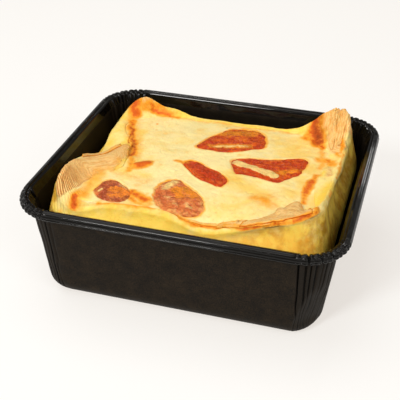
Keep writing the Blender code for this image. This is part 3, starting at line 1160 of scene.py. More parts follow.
class PastryCase:
    """The pastry cup with its wavy crest, raised corners and folded flaps."""

    def __init__(self, form: QuicheForm) -> None:
        """Keep the shared form."""
        self.form = form

    def rings(self) -> Array:
        """Every level, from the floor up the outer side, over the crest and down inside.

        Returns:
            Places of every ring's points in millimetres: ring, station, axis.
        """
        form = self.form
        base = form.tray.board + form.gap
        outer = [
            form.side(base, 8.2, 8.0),
            form.side(base + 1.6, 5.2, 10.0),
            form.side(0.35 * form.bulge_height, 2.6, 12.0),
            form.side(form.bulge_height, form.bulge_inset, 13.0),
            form.side(form.bulge_height + 7.0, 2.0 * form.bulge_inset, 13.0, form.sag),
            form.crest(1.6, 4.2),
            form.crest(0.5, 1.2),
            form.lip(0.0, 0.0),
            form.lip(0.12, 0.0),
        ]
        levels = refine(outer, (2, 3, 4, 4, 6, 5, 4, 3))
        across = [form.lip(share, 0.0) for share in np.linspace(0.12, 1.0, 41)[1:]]
        under = [
            form.lip(1.02, 0.25 * form.lip_edge),
            form.lip(1.02, 0.7 * form.lip_edge),
            form.lip(0.99, form.lip_edge),
            form.shoulder(0.0),
            form.inner(form.bulge_height, form.bulge_inset + form.wall),
            form.inner(form.tray.board + form.gap + form.floor, form.floor_inset),
        ]
        return np.concatenate((levels, np.stack(across + under)))

    def lift(self, places: Array, phase: Array) -> Array:
        """Relief of the pastry in millimetres: lumps, folds and flaky layers.

        Args:
            places: Points in millimetres, one row each.
            phase: Each point's number across the fibres.

        Returns:
            The lift of each point.
        """
        x, y, z = places.T
        shown = smooth_step(20.0, 34.0, z)
        ear = EAR_FLAKES.at(x, y) * smooth_step(39.0, 43.0, z)
        left = LEFT_FLAKES.at(x, y) * smooth_step(36.0, 41.0, z)
        right = RIGHT_FLAKES.at(x, y)
        lumps = 0.36 * rough(places, 9.0, 4) + 0.12 * rough(places, 2.6, 3, 5.0)
        torn = 0.5 + 0.5 * rough(places, 3.0, 2, 13.0)
        layers = np.abs((phase / 1.25 + 0.25 * torn) % 1.0 - 0.5) * 2.0
        line = np.stack((phase, 0.15 * z, 0.12 * y), axis=1)
        ridges = rough(line, 1.3, 3, 9.0)
        flakes = (0.65 * ear + 0.35 * right) * ridges
        fan = 0.22 * left * ridges
        lumps = lumps * (1.0 - LEFT_CREASE.at(x, y))
        return (lumps + flakes + fan + 0.25 * ear * (layers - 0.5)) * shown

    def outside(self, places: Array) -> Array:
        """Share of the painted shade on the outer side, below the crest.

        Args:
            places: Points in millimetres, one row each.

        Returns:
            The share at each point.
        """
        x, y = places.T[:2]
        front = 0.9 * smooth_step(8.0, 36.0, x) * smooth_step(-30.0, -38.0, y)
        where = np.maximum(front, smooth_step(47.0, 50.0, np.abs(x)))
        depth = self.form.crest_height(x, y) - places[:, 2]
        return where * self.form.beyond(x, y) * smooth_step(0.6, 3.0, depth)

    def step_up(self, places: Array) -> Array:
        """Raise the front left flap, whose back edge lies over the left side.

        Args:
            places: Points in millimetres, one row each.

        Returns:
            The raised points.
        """
        x, y = places.T[:2]
        edge = 6.6 + 0.5 * np.sin(0.8 * x)
        flap = smooth_step(edge + 0.45, edge - 0.45, y) * smooth_step(-20.0, -6.0, y)
        within = smooth_step(-31.0, -36.0, x) * smooth_step(30.0, 34.0, places[:, 2])
        raised = places.copy()
        raised[:, 2] += 0.9 * flap * within
        return raised

    def build(self, material: Material) -> Piece:
        """Make the case, press its relief and dress it.

        Args:
            material: The pastry's material.

        Returns:
            The finished case.
        """
        case = Skin.pull_up("pastry_shell", self.rings(), close_end=True)
        Skin.press(case, self.step_up(Skin.points(case)))
        places = Skin.points(case)
        dress_baked(case, places, self.outside(places))
        Skin.relief(case, self.lift(places, fibres(places)))
        Skin.finish(case, material, Slot.PASTRY, "pastry_case")
        return case


def curve(places: Sequence[tuple[float, float]], share: Array) -> Array:
    """Smooth line through places of the plan, at shares of its length.

    Args:
        places: Places that the line passes through.
        share: Shares from 0 to 1.

    Returns:
        The line's points at those shares.
    """
    knots = [np.array(place) for place in places]
    line = refine(knots, [12] * (len(knots) - 1))
    length = np.concatenate(((0.0,), np.cumsum(np.hypot(*np.diff(line, axis=0).T))))
    at = share * length[-1]
    return np.stack((np.interp(at, length, line[:, 0]), np.interp(at, length, line[:, 1])), axis=1)


@dataclass(frozen=True)
class FlakeForm:
    """A thin dry layer that lies on the pastry between two lines of the plan, in millimetres."""

    near: tuple[tuple[float, float], ...]
    far: tuple[tuple[float, float], ...]
    near_lift: float
    far_lift: float
    cream: float = 1.0
    ragged: float = 0.12
    toasted: float = 0.5
    thickness: float = 0.28


class Flake:
    """One torn layer, laid on the baked surface under it."""

    steps_along = 90
    steps_across = 36
    look_from = 0.1
    clear = 0.12

    def __init__(self, name: str, shape: FlakeForm) -> None:
        """Keep the layer's name and shape."""
        self.name = name
        self.shape = shape

    def ground(self, x: float, y: float, grounds: Sequence[BVHTree]) -> tuple[Vector, Vector]:
        """Highest ground at a place of the plan.

        Args:
            x: Place along X in millimetres.
            y: Place along Y in millimetres.
            grounds: Search trees of the pieces that the layer lies on.

        Returns:
            The place in metres and its normal.
        """
        start = Vector((x * MM, y * MM, self.look_from))
        down = Vector((0.0, 0.0, -1.0))
        hits = [ground.ray_cast(start, down) for ground in grounds]
        place, normal, _, _ = max((hit for hit in hits if hit[0] is not None), key=lambda hit: hit[0].z)
        return place, normal

    def lay(self, plan: Array, lift: float, grounds: Sequence[BVHTree]) -> Array:
        """Places above the ground, in millimetres.

        Args:
            plan: Places of the plan, one row each.
            lift: Distance from the ground.
            grounds: Search trees of the pieces that the layer lies on.

        Returns:
            The places, one row each.
        """
        rows = []
        for spot in plan.tolist():
            place, normal = self.ground(*spot, grounds)
            rows.append(tuple(place / MM + normal * lift))
        return np.array(rows)

    def build(self, grounds: Sequence[BVHTree], material: Material) -> Piece:
        """Make the layer, stretch it between its lines, give it its thickness and dress it.

        Args:
            grounds: Search trees of the pieces that the layer lies on.
            material: The pastry's material.

        Returns:
            The finished layer.
        """
        shape = self.shape
        grid = bpy.ops.mesh.primitive_grid_add
        steps = {"x_subdivisions": self.steps_along, "y_subdivisions": self.steps_across}
        piece = Skin.start(self.name, grid, size=1.0, **steps)
        raw = Skin.points(piece) * MM + 0.5
        along = raw[:, 0]
        across = raw[:, 1]
        seed = shape.near[0][0]
        torn = rough(level_plane(9.0 * along, 0.6 * across), 1.0, 4, seed)
        frayed = rough(level_plane(0.6 * along, 6.0 * across), 1.0, 4, seed + 5.0)
        share = np.clip(along * (1.0 + 0.6 * shape.ragged * frayed), 0.0, 1.0)
        width = across * (1.0 - shape.ragged + shape.ragged * torn * across)
        low = self.lay(curve(shape.near, share), shape.near_lift + shape.thickness, grounds)
        high = self.lay(curve(shape.far, share), shape.far_lift + shape.thickness, grounds)
        taut = low + (high - low) * width[:, None]
        ripple = 0.14 * rough(level_plane(taut[:, 0], taut[:, 1]), 2.4, 3, seed)
        laid = self.lay(taut[:, :2], self.clear + shape.thickness, grounds)
        taut[:, 2] = np.maximum(taut[:, 2] + ripple, laid[:, 2])
        Skin.press(piece, taut)
        self.paint(piece, along, across, np.hypot(*(high - low)[:, :2].T))
        Skin.solidify(piece, shape.thickness)
        bpy.ops.object.shade_smooth()
        Skin.finish(piece, material, Slot.PASTRY)
        return piece

    def paint(self, piece: Piece, along: Array, across: Array, width: Array) -> None:
        """Brown the torn edges and set the fibres along the layer.

        Args:
            piece: The layer.
            along: Share of the layer's length at each point.
            across: Share of its width at each point.
            width: Its width in millimetres at each point.
        """
        places = Skin.points(piece)
        margin = np.minimum(across, 1.0 - across) * width
        ends = np.minimum(along, 1.0 - along) * np.ptp(places[:, :2], axis=0).max()
        edge = np.exp(-np.minimum(margin, ends) / 0.45)
        channels = np.zeros((len(places), 4))
        channels[:, Tint.CREAM.value] = self.shape.cream
        channels[:, Tint.GOLD.value] = 0.4
        browned = 0.5 * tints(places)[:, Tint.BROWN.value]
        channels[:, Tint.BROWN.value] = np.maximum(self.shape.toasted * edge, browned)
        Skin.paint(piece, "bake", channels)
        Skin.mark(piece, "fibre", across * width.mean() + 0.4 * rough(places, 4.0, 3, 2.0))


def flake_shapes() -> list[FlakeForm]:
    """Torn layers: front right flap, front fold, back right ear and the left band's curl.

    Returns:
        The layers' shapes.
    """
    return [
        FlakeForm(
            ((22.5, -40.4), (31.0, -40.8), (39.0, -40.8), (44.4, -39.4), (47.4, -37.4)),
            ((23.5, -39.0), (31.0, -31.0), (38.6, -17.6), (42.6, -24.0), (46.2, -34.0)),
            0.1, 0.35, 1.0, 0.03, 0.9,
        ),
        FlakeForm(
            ((13.5, -39.6), (20.0, -40.4), (28.0, -41.0), (34.0, -41.2)),
            ((15.0, -38.2), (21.0, -37.2), (27.0, -35.0), (32.5, -35.5)),
            0.1, 0.5, 1.0, 0.08, 0.6,
        ),
        FlakeForm(
            ((3.0, -39.4), (12.0, -38.9), (19.0, -39.4)),
            ((4.0, -38.3), (12.0, -37.4), (19.5, -37.8)),
            0.1, 0.3, 0.6, 0.08, 0.6,
        ),
        FlakeForm(
            ((41.0, 42.4), (41.4, 38.5), (42.2, 33.0), (43.4, 28.5)),
            ((43.8, 42.6), (44.4, 38.5), (44.8, 33.0), (44.6, 28.0)),
            0.02, 0.2, 1.0, 0.05, 0.25, 0.2,
        ),
        FlakeForm(
            ((45.2, 42.4), (45.4, 38.0), (45.6, 33.0), (46.2, 29.5)),
            ((48.8, 41.0), (48.6, 37.5), (48.0, 33.0), (47.6, 29.0)),
            0.02, 0.2, 1.0, 0.05, 0.25, 0.2,
        ),
        FlakeForm(
            ((43.4, 41.5), (43.8, 37.0), (44.4, 32.6)),
            ((45.0, 41.5), (45.8, 37.0), (46.2, 32.0)),
            0.02, 0.2, 1.0, 0.05, 0.25, 0.2,
        ),
        FlakeForm(
            ((-48.6, -14.0), (-45.6, -6.0), (-41.8, 1.4), (-39.2, 4.8)),
            ((-49.4, -11.0), (-47.0, -2.4), (-43.2, 4.0), (-40.2, 6.8)),
            0.05, 0.7, 1.0, 0.10, 0.6,
        ),
    ]


class Custard:
    """The set filling with its browned, gently wrinkled top."""

    cells_x = 230
    cells_y = 200
    tuck = 1.3
    edge_drop = 0.25
    blister = Stroke((-27.0, -9.0), (-24.2, -6.8), 1.9, Tint.GOLD, 1.0, 1.5)
    flow = ((-41.6, -37.0), (-40.4, -28.0), (-38.0, -19.0), (-33.6, -12.0), (-32.0, -4.0))

    def __init__(self, form: QuicheForm, tomatoes: Sequence["TomatoForm"]) -> None:
        """Keep the shared form and the tomatoes that lie in the top."""
        self.form = form
        self.tomatoes = tomatoes

    @staticmethod
    def polar(ring: Array) -> Callable[[Array], Array]:
        """Distance and height of a ring as a function of the direction in the plan.

        Args:
            ring: Places of the ring's points.

        Returns:
            A function from directions in radians to places of the ring.
        """
        angle = np.arctan2(ring[:, 1], ring[:, 0])
        order = np.argsort(angle)
        angle = angle[order]
        reach = np.hypot(ring[:, 0], ring[:, 1])[order]
        height = ring[:, 2][order]

        def at(direction: Array) -> Array:
            """Places of the ring at given directions.

            Args:
                direction: Directions in radians.

            Returns:
                One place for each direction.
            """
            radius = np.interp(direction, angle, reach, period=2.0 * math.pi)
            level = np.interp(direction, angle, height, period=2.0 * math.pi)
            return np.stack((radius * np.cos(direction), radius * np.sin(direction), level), axis=1)

        return at

    def edge(self) -> Array:
        """The top's edge, tucked a little into the pastry where that lies flush.

        Returns:
            The edge's points.
        """
        plan = self.form.crest_plan()
        reach = np.maximum(self.form.lip_width(*plan.T) - self.tuck, self.form.rim_width)
        moved = self.form.inward(plan, reach)
        return at_height(moved, self.form.fill_height(*moved.T) - self.edge_drop)

    def top(self, name: str) -> Piece:
        """A grid stretched to the filling's outline, its points on the filling's height.

        Args:
            name: The piece's name.

        Returns:
            The new piece, still a single sheet.
        """
        grid = bpy.ops.mesh.primitive_grid_add
        steps = {"x_subdivisions": self.cells_x, "y_subdivisions": self.cells_y}
        piece = Skin.start(name, grid, size=2.0, **steps)
        raw = Skin.points(piece) * MM
        share = np.maximum(np.abs(raw[:, 0]), np.abs(raw[:, 1]))
        direction = np.arctan2(raw[:, 1] * self.form.half_y, raw[:, 0] * self.form.half_x)
        places = self.polar(self.edge())(direction) * share[:, None]
        height = self.form.fill_height(places[:, 0], places[:, 1])
        places[:, 2] = height - self.edge_drop * smooth_step(0.975, 1.0, share)
        Skin.press(piece, places)
        return piece

    def skirt(self, piece: Piece) -> None:
        """Extrude the top's edge down inside the pastry and close the bottom.

        Args:
            piece: The sheet of the top.
        """
        form = self.form
        floor = form.tray.board + 2.0 * form.gap + form.floor
        rings = (
            form.shoulder(form.gap),
            form.inner(form.bulge_height, form.bulge_inset + form.wall + form.gap),
            form.inner(floor, form.floor_inset + form.gap),
        )
        Skin.only(piece)
        with Skin.editing():
            bpy.ops.mesh.select_all(action="DESELECT")
            bpy.ops.mesh.select_non_manifold()
        for ring in rings:
            with Skin.editing():
                bpy.ops.mesh.extrude_edges_move(TRANSFORM_OT_translate={"value": (0.0, 0.0, -0.001)})
            chosen = np.empty(len(piece.data.vertices), dtype=bool)
            piece.data.vertices.foreach_get("select", chosen)
            places = Skin.points(piece)
            direction = np.arctan2(places[chosen, 1], places[chosen, 0])
            places[chosen] = self.polar(ring)(direction)
            Skin.press(piece, places)
        Skin.close(piece, chosen)

    @staticmethod
    def shown(places: Array) -> Array:
        """Share of the top: 1 on it, 0 down the sides."""
        return smooth_step(34.0, 36.0, places[:, 2])

    def lift(self, places: Array) -> Array:
        """Relief of the top in millimetres: soft wrinkles, blisters and the tomatoes' hollows.

        Args:
            places: Points in millimetres, one row each.

        Returns:
            The lift of each point.
        """
        x, y = places.T[:2]
        lumps = 0.30 * rough(places, 11.0, 3, 2.0) + 0.10 * rough(places, 3.4, 4, 8.0)
        lumps = lumps * (1.0 - LEFT_CREASE.at(x, y))
        blister = 0.9 * self.blister.at(x, y)
        pits = -0.18 * smooth_step(0.42, 0.75, rough(places, 2.2, 2, 14.0))
        swell = np.zeros_like(x)
        for stroke in chain(self.flow, 1.4, Tint.GOLD, 1.0, 2.6):
            swell = np.maximum(swell, 0.9 * stroke.at(x, y))
        for tomato in self.tomatoes:
            away = tomato.distance(x, y)
            swell = swell + 0.16 * bell(away, 1.10, 0.10)
            swell = swell - 1.4 * (1.0 - smooth_step(0.86, 1.0, away))
        return (lumps + blister + pits + swell) * self.shown(places)

    def halo(self, places: Array) -> Array:
        """Browning of the custard round each tomato piece.

        Args:
            places: Points in millimetres, one row each.

        Returns:
            The browning of each point.
        """
        x, y = places.T[:2]
        browned = np.zeros_like(x)
        for tomato in self.tomatoes:
            away = tomato.distance(x, y)
            near = bell(away, 0.98, 0.06 + 0.10 * tomato.halo)
            browned = np.maximum(browned, (0.35 + 0.6 * tomato.halo) * near)
        return browned * self.shown(places)

    def build(self, material: Material) -> Piece:
        """Make the filling, press its relief and dress it.

        Args:
            material: The custard's material.

        Returns:
            The finished filling.
        """
        piece = self.top("custard_filling")
        self.skirt(piece)
        Skin.outward(piece)
        places = Skin.points(piece)
        dress_baked(piece, places, np.zeros(len(places)))
        Skin.mark(piece, "halo", self.halo(places))
        Skin.relief(piece, self.lift(places))
        Skin.finish(piece, material, Slot.CUSTARD, "custard")
        return piece


@dataclass(frozen=True)
class TomatoForm:
    """Place and outline of one tomato piece in the plan, in millimetres."""

    node: str
    x: float
    y: float
    outline: tuple[tuple[float, float], ...]
    halo: float
    skin: str
    strokes: tuple[Stroke, ...] = ()
    ragged: float = 0.08

    def reach(self, way: Array) -> Array:
        """Distance from the middle to the outline in each direction of the plan.

        Args:
            way: Directions in radians.

        Returns:
            The distance in each direction.
        """
        knots = [np.array(place) for place in self.outline]
        ring = refine([*knots, knots[0]], [8] * len(knots))[:-1]
        angle = np.arctan2(ring[:, 1] - self.y, ring[:, 0] - self.x)
        radius = np.hypot(ring[:, 0] - self.x, ring[:, 1] - self.y)
        uneven = 1.0 + 0.035 * rough(level_plane(np.cos(way), np.sin(way)), 0.22, 4, self.x)
        return np.interp(way, angle, radius, period=2.0 * math.pi) * uneven

    def distance(self, x: Array, y: Array) -> Array:
        """Distance from the middle as a share of the outline: 1 is on the outline."""
        way = np.arctan2(y - self.y, x - self.x)
        return np.hypot(x - self.x, y - self.y) / self.reach(way)


class TomatoPiece:
    """A roasted tomato piece: a flat wrinkled cushion set in the custard."""

    segments = 144
    levels = 72
    sunk = 1.3
    dome = 0.8
    spread = 1.04

    def __init__(self, form: QuicheForm, shape: TomatoForm) -> None:
        """Keep the shared form and this piece's shape."""
        self.form = form
        self.shape = shape

    def places(self, ball: Array) -> Array:
        """Press the points of a unit ball to the piece's form.

        Args:
            ball: Points of the unit ball, one row each.

        Returns:
            The pressed points in millimetres.
        """
        shape = self.shape
        reach = np.hypot(ball[:, 0], ball[:, 1])
        way = np.arctan2(ball[:, 1], ball[:, 0])
        flat = self.spread * np.where(reach > 0.0, reach**0.82, 0.0)
        radius = shape.reach(way) * flat
        x = shape.x + radius * np.cos(way)
        y = shape.y + radius * np.sin(way)
        top = self.dome * (1.0 - flat**2.6) - 0.25 * flat**8
        bottom = -0.25 * flat**8 - self.sunk * np.abs(ball[:, 2]) ** 0.7
        height = self.form.fill_height(x, y) + np.where(ball[:, 2] > 0.0, top, bottom)
        return np.stack((x, y, height), axis=1)

    def build(self, material: Material) -> Piece:
        """Make the piece, wrinkle it and dress it.

        Args:
            material: The tomato's material.

        Returns:
            The finished piece.
        """
        sphere = bpy.ops.mesh.primitive_uv_sphere_add
        steps = {"segments": self.segments, "ring_count": self.levels}
        piece = Skin.start(self.shape.node + "_flesh", sphere, radius=1.0, **steps)
        ball = Skin.points(piece) * MM
        Skin.press(piece, self.places(ball))
        Skin.outward(piece)
        self.wrinkle(piece, smooth_step(-0.1, 0.2, ball[:, 2]))
        Skin.finish(piece, material, Slot.TOMATO, self.shape.node)
        return piece

    def wrinkle(self, piece: Piece, top: Array) -> None:
        """Fold the skin, press the marks of the flesh and paint them.

        Args:
            piece: The pressed piece.
            top: Share of the upper side at each point.
        """
        places = Skin.points(piece)
        x, y = places.T[:2]
        away = self.shape.distance(x, y)
        shift = self.shape.x
        folds = rough(level_plane(0.6 * x, 1.2 * y), 3.2, 4, shift)
        fine = rough(places, 1.1, 3, shift)
        rolled = bell(away, 0.86, 0.09)
        sway = 0.5 * rough(places, 2.4, 3, shift + 3.0)
        channels = np.zeros((len(places), 4))
        ragged = self.shape.ragged
        channels[:, Tint.DARK.value] = smooth_step(0.92 - ragged, 1.0, away + ragged * (fine + folds - 0.4))
        for stroke in self.shape.strokes:
            blend(channels, stroke.tint, stroke.at(x + sway, y + sway))
        smear = channels[:, Tint.CREAM.value]
        lift = 0.30 * folds + 0.10 * fine + 0.22 * rolled + 0.25 * smear - 0.1
        Skin.paint(piece, "flesh", channels)
        Skin.relief(piece, lift * top)


def tomato_shapes() -> list[TomatoForm]:
    """The five pieces with the marks of their flesh, all in places of the plan.

    Returns:
        The pieces' shapes.
    """
    back = (
        (-10.6, 14.6), (-7.2, 25.4), (-3.8, 31.3), (-1.3, 35.8), (3.4, 38.2), (8.8, 38.4), (13.0, 36.0),
        (16.2, 30.6), (17.4, 22.2), (12.6, 17.6), (6.6, 13.4), (-1.0, 12.2), (-7.6, 12.6),
    )
    right = (
        (7.4, 3.0), (7.4, 7.6), (12.2, 9.6), (19.6, 12.0), (27.4, 14.6), (35.8, 17.6), (37.4, 12.0),
        (35.6, 3.8), (31.6, -2.0), (28.8, -6.2), (21.8, -5.2), (15.6, -3.6), (11.2, -4.0),
    )
    middle = (
        (-11.0, -2.1), (-8.2, 1.4), (-4.4, 0.6), (1.6, -3.6), (6.4, -6.0), (10.4, -10.6), (9.2, -16.6),
        (3.6, -14.6), (-2.6, -11.4), (-7.4, -6.4),
    )
    front = (
        (-13.8, -29.0), (-14.4, -24.0), (-12.6, -18.0), (-9.0, -15.8), (-5.0, -17.6), (0.6, -22.0),
        (4.6, -26.0), (7.2, -32.0), (5.4, -36.2), (0.6, -38.0), (-5.4, -38.4), (-11.2, -34.2),
    )
    left = (
        (-36.4, -32.4), (-35.4, -25.6), (-32.8, -22.4), (-28.6, -23.8), (-23.6, -28.0), (-21.4, -32.4),
        (-22.8, -37.0), (-27.2, -38.8), (-33.0, -36.6),
    )
    return [
        TomatoForm("tomato_back", 3.4, 24.6, back, 0.2, "open", (
            *marks(Tint.GOLD, (
                (-2, 30, 9, 34, 3.6, 1, 3), (0, 25, 8, 27, 2, 0.45, 3), (-4, 15.6, 11, 20.4, 1.7, 1, 0.9),
            )),
            *marks(Tint.CREAM, ((-2.6, 15.8, 10.6, 20.2, 1, 0.72, 1.4),)),
            *marks(Tint.BROWN, (
                (-5, 18.6, 11, 23.8, 0.5, 1, 0.9), (-10, 14.4, -7, 15.6, 1.5, 1, 1.6),
                (13.6, 20, 16, 24, 1.4, 0.8, 1.8), (-2, 36, 9, 38.6, 0.6, 0.7, 0.9),
            )),
        )),
        TomatoForm("tomato_right", 22.4, 4.4, right, 0.0, "open", (
            *marks(Tint.CREAM, ((9.8, 4.3, 26.6, -2, 1.8, 1, 0.5), (22, 9.4, 31, 13, 1, 0.22, 1.6))),
            *marks(Tint.BROWN, (
                (9, 5.8, 26, -0.1, 0.35, 1, 0.5), (10, 1.2, 25, -4.2, 0.35, 0.8, 0.5),
                (12, 7.6, 24, 5.4, 0.7, 1, 0.9), (24, 5.4, 33.6, 11.2, 0.7, 1, 0.9),
                (20.6, -4, 29.6, -5.4, 1, 0.8, 1.2), (34.8, 8, 36.4, 15, 1.2, 0.8, 1.6),
            )),
            *marks(Tint.GOLD, ((27, 1, 35, 6.6, 1.6, 0.9, 1.8),)),
        )),
        TomatoForm("tomato_middle", 0.2, -7.4, middle, 0.25, "open", (
            *marks(Tint.BROWN, ((-6, -2.4, 6, -11, 2.6, 1, 2.4),)),
            *marks(Tint.CREAM, ((7.6, -12.4, 8.6, -15.6, 1.4, 0.3, 2),)),
            *marks(Tint.GOLD, ((-10.6, -1.8, -9, -1, 1, 1, 1.6),)),
        )),
        TomatoForm("tomato_front", -3.8, -27.8, front, 0.12, "covered", (
            *marks(Tint.CREAM, (
                (-10.6, -23.4, -8.6, -18.6, 2, 0.8, 2.2), (-7.6, -29.6, -3, -34, 1.6, 0.58, 2.6),
                (-0.4, -30.6, 1.6, -33.4, 1.6, 0.5, 2),
            )),
            *marks(Tint.GOLD, ((-6, -24, -3.4, -27.6, 2.4, 1, 2.2), (-3.4, -21.4, 2.4, -26.6, 2, 1, 2))),
            *marks(Tint.BROWN, (
                (-12.4, -27, -7, -35.6, 1.5, 0.95, 2), (3.6, -34.6, 5.6, -35.2, 1.2, 0.6, 1.8),
            )),
        ), 0.18),
        TomatoForm("tomato_left", -28.6, -31.0, left, 0.05, "toasted", (
            *marks(Tint.GOLD, (
                (-28.4, -30, -23, -30.4, 2.8, 1, 2.2), (-28, -34, -24, -33.4, 1.8, 0.9, 1.8),
            )),
            *marks(Tint.CREAM, (
                (-33, -27, -30.4, -30, 0.7, 0.45, 1.2), (-33.6, -32.6, -33, -31.4, 0.7, 0.7, 0.9),
                (-27.6, -26, -24.4, -28.2, 0.8, 0.7, 1.2),
            )),
            *marks(Tint.BROWN, (
                (-31.4, -28.6, -31.4, -34.6, 1.6, 1, 1.6), (-26.6, -37.4, -22.8, -36.4, 0.7, 1, 1),
            )),
        ), 0.16),
    ]


def screen(red: int, green: int, blue: int) -> Colour:
    """A colour given as it looks on a screen, 0 to 255, as the linear colour a shader takes.

    Args:
        red: Red on the screen.
        green: Green on the screen.
        blue: Blue on the screen.

    Returns:
        The linear colour.
    """
    def linear(value: int) -> float:
        """One channel."""
        share = value / 255.0
        return share / 12.92 if share <= 0.04045 else ((share + 0.055) / 1.055) ** 2.4

    return linear(red), linear(green), linear(blue)


class Palette:
    """Node material under work: a Principled shader and short helpers to feed it."""

    def __init__(self, name: str) -> None:
        """Start a material with its shader and the object's own coordinates.

        Args:
            name: The material's name.
        """
        self.material = bpy.data.materials.new(name)
        self.material.use_nodes = True
        self.tree = self.material.node_tree
        self.shader = self.tree.nodes["Principled BSDF"]
        self.place = self.node("TexCoord").outputs["Object"]

    def node(self, kind: str) -> bpy.types.Node:
        """Add a shader node."""
        return self.tree.nodes.new("ShaderNode" + kind)

    def texture(self, place: Socket, detail: float, roughness: float) -> Socket:
        """Noise from 0 to 1 at the places that a socket gives.

        Args:
            place: Socket that gives the places.
            detail: Finer layers.
            roughness: Strength of the finer layers.

        Returns:
            The noise's value.
        """
        texture = self.node("TexNoise")
        for socket, amount in (("Scale", 1.0), ("Detail", detail), ("Roughness", roughness)):
            texture.inputs[socket].default_value = amount
        self.feed(texture.inputs["Vector"], place)
        return texture.outputs["Fac"]

    def noise(self, scale: float, detail: float = 6.0, stretch: Sequence[float] = (1.0, 1.0, 1.0),
              roughness: float = 0.55) -> Socket:
        """Noise from 0 to 1 in the object's coordinates.

        Args:
            scale: Lumps per metre.
            detail: Finer layers.
            stretch: Share of the scale along each axis.
            roughness: Strength of the finer layers.

        Returns:
            The noise's value.
        """
        mapping = self.node("Mapping")
        mapping.inputs["Scale"].default_value = [scale * share for share in stretch]
        self.tree.links.new(self.place, mapping.inputs["Vector"])
        return self.texture(mapping.outputs["Vector"], detail, roughness)

    def channels(self, name: str) -> list[Socket]:
        """The four painted channels of an attribute.

        Args:
            name: The attribute's name.

        Returns:
            One socket for each channel.
        """
        attribute = self.node("Attribute")
        attribute.attribute_name = name
        split = self.node("SeparateColor")
        self.tree.links.new(attribute.outputs["Color"], split.inputs["Color"])
        return [split.outputs[0], split.outputs[1], split.outputs[2], attribute.outputs["Alpha"]]

    def number(self, name: str) -> Socket:
        """A plain number painted on the points.

        Args:
            name: The attribute's name.

        Returns:
            The number's socket.
        """
        attribute = self.node("Attribute")
        attribute.attribute_name = name
        return attribute.outputs["Fac"]

    def strands(self, phase: Socket, across: float, along: float) -> Socket:
        """Noise drawn out along fibres.

        Args:
            phase: Number that grows across the fibres, in millimetres.
            across: Strands per millimetre.
            along: Lumps per metre along the strands.

        Returns:
            The noise's value.
        """
        split = self.node("SeparateXYZ")
        self.tree.links.new(self.place, split.inputs[0])
        joined = self.node("CombineXYZ")
        self.feed(joined.inputs[0], self.times(phase, across))
        self.feed(joined.inputs[1], self.times(split.outputs[1], along))
        self.feed(joined.inputs[2], self.times(split.outputs[2], along))
        return self.texture(joined.outputs[0], 3.0, 0.5)

    def line(self, value: Socket, width: float) -> Socket:
        """One along the middle level of a noise, zero beyond a width: thin wandering lines."""
        away = self.math("ABSOLUTE", self.less(value, 0.5), 0.0)
        return self.span(away, 0.0, width, 1.0, 0.0)

    def math(self, operation: str, first: object, second: object) -> Socket:
        """A sum, product or other step on two values.

        Args:
            operation: The node's operation.
            first: First value.
            second: Second value.

        Returns:
            The result.
        """
        node = self.node("Math")
        node.operation = operation
        self.feed(node.inputs[0], first)
        self.feed(node.inputs[1], second)
        return node.outputs[0]

    def times(self, first: object, second: object) -> Socket:
        """Product of two values."""
        return self.math("MULTIPLY", first, second)

    def plus(self, first: object, second: object) -> Socket:
        """Sum of two values."""
        return self.math("ADD", first, second)

    def less(self, first: object, second: object) -> Socket:
        """Difference of two values."""
        return self.math("SUBTRACT", first, second)

    def span(self, value: object, low: float, high: float, out_low: float = 0.0,
             out_high: float = 1.0) -> Socket:
        """A value's range turned smoothly into another range.

        Args:
            value: The value.
            low: Lower end of its range.
            high: Upper end of its range.
            out_low: Result at the lower end.
            out_high: Result at the upper end.

        Returns:
            The result.
        """
        node = self.node("MapRange")
        node.interpolation_type = "SMOOTHSTEP"
        self.feed(node.inputs["Value"], value)
        sockets = ("From Min", "From Max", "To Min", "To Max")
        for socket, amount in zip(sockets, (low, high, out_low, out_high)):
            node.inputs[socket].default_value = amount
        return node.outputs["Result"]

    def mix(self, share: object, first: object, second: object) -> Socket:
        """Two colours mixed by a share.

        Args:
            share: Share of the second colour.
            first: First colour.
            second: Second colour.

        Returns:
            The mixed colour.
        """
        node = self.node("Mix")
        node.data_type = "RGBA"
        self.feed(node.inputs[0], share)
        self.feed(node.inputs[6], first)
        self.feed(node.inputs[7], second)
        return node.outputs[2]

    def feed(self, socket: Socket, value: object) -> None:
        """Link a socket to a value, or set a constant on it.

        Args:
            socket: Socket of a node.
            value: Another socket, a colour or a number.
        """
        if isinstance(value, Socket):
            self.tree.links.new(value, socket)
        elif isinstance(value, tuple):
            socket.default_value = (*value, 1.0)
        else:
            socket.default_value = value

    def bump(self, height: object, distance: float, strength: float) -> None:
        """Fine relief by a height in metres.

        Args:
            height: The height's value.
            distance: Height of the relief in metres.
            strength: Its strength, 0 to 1.
        """
        node = self.node("Bump")
        node.inputs["Distance"].default_value = distance
        node.inputs["Strength"].default_value = strength
        self.feed(node.inputs["Height"], height)
        self.tree.links.new(node.outputs["Normal"], self.shader.inputs["Normal"])

    def set(self, socket: str, value: object) -> None:
        """Link one of the shader's sockets to a value, or set a constant on it."""
        self.feed(self.shader.inputs[socket], value)


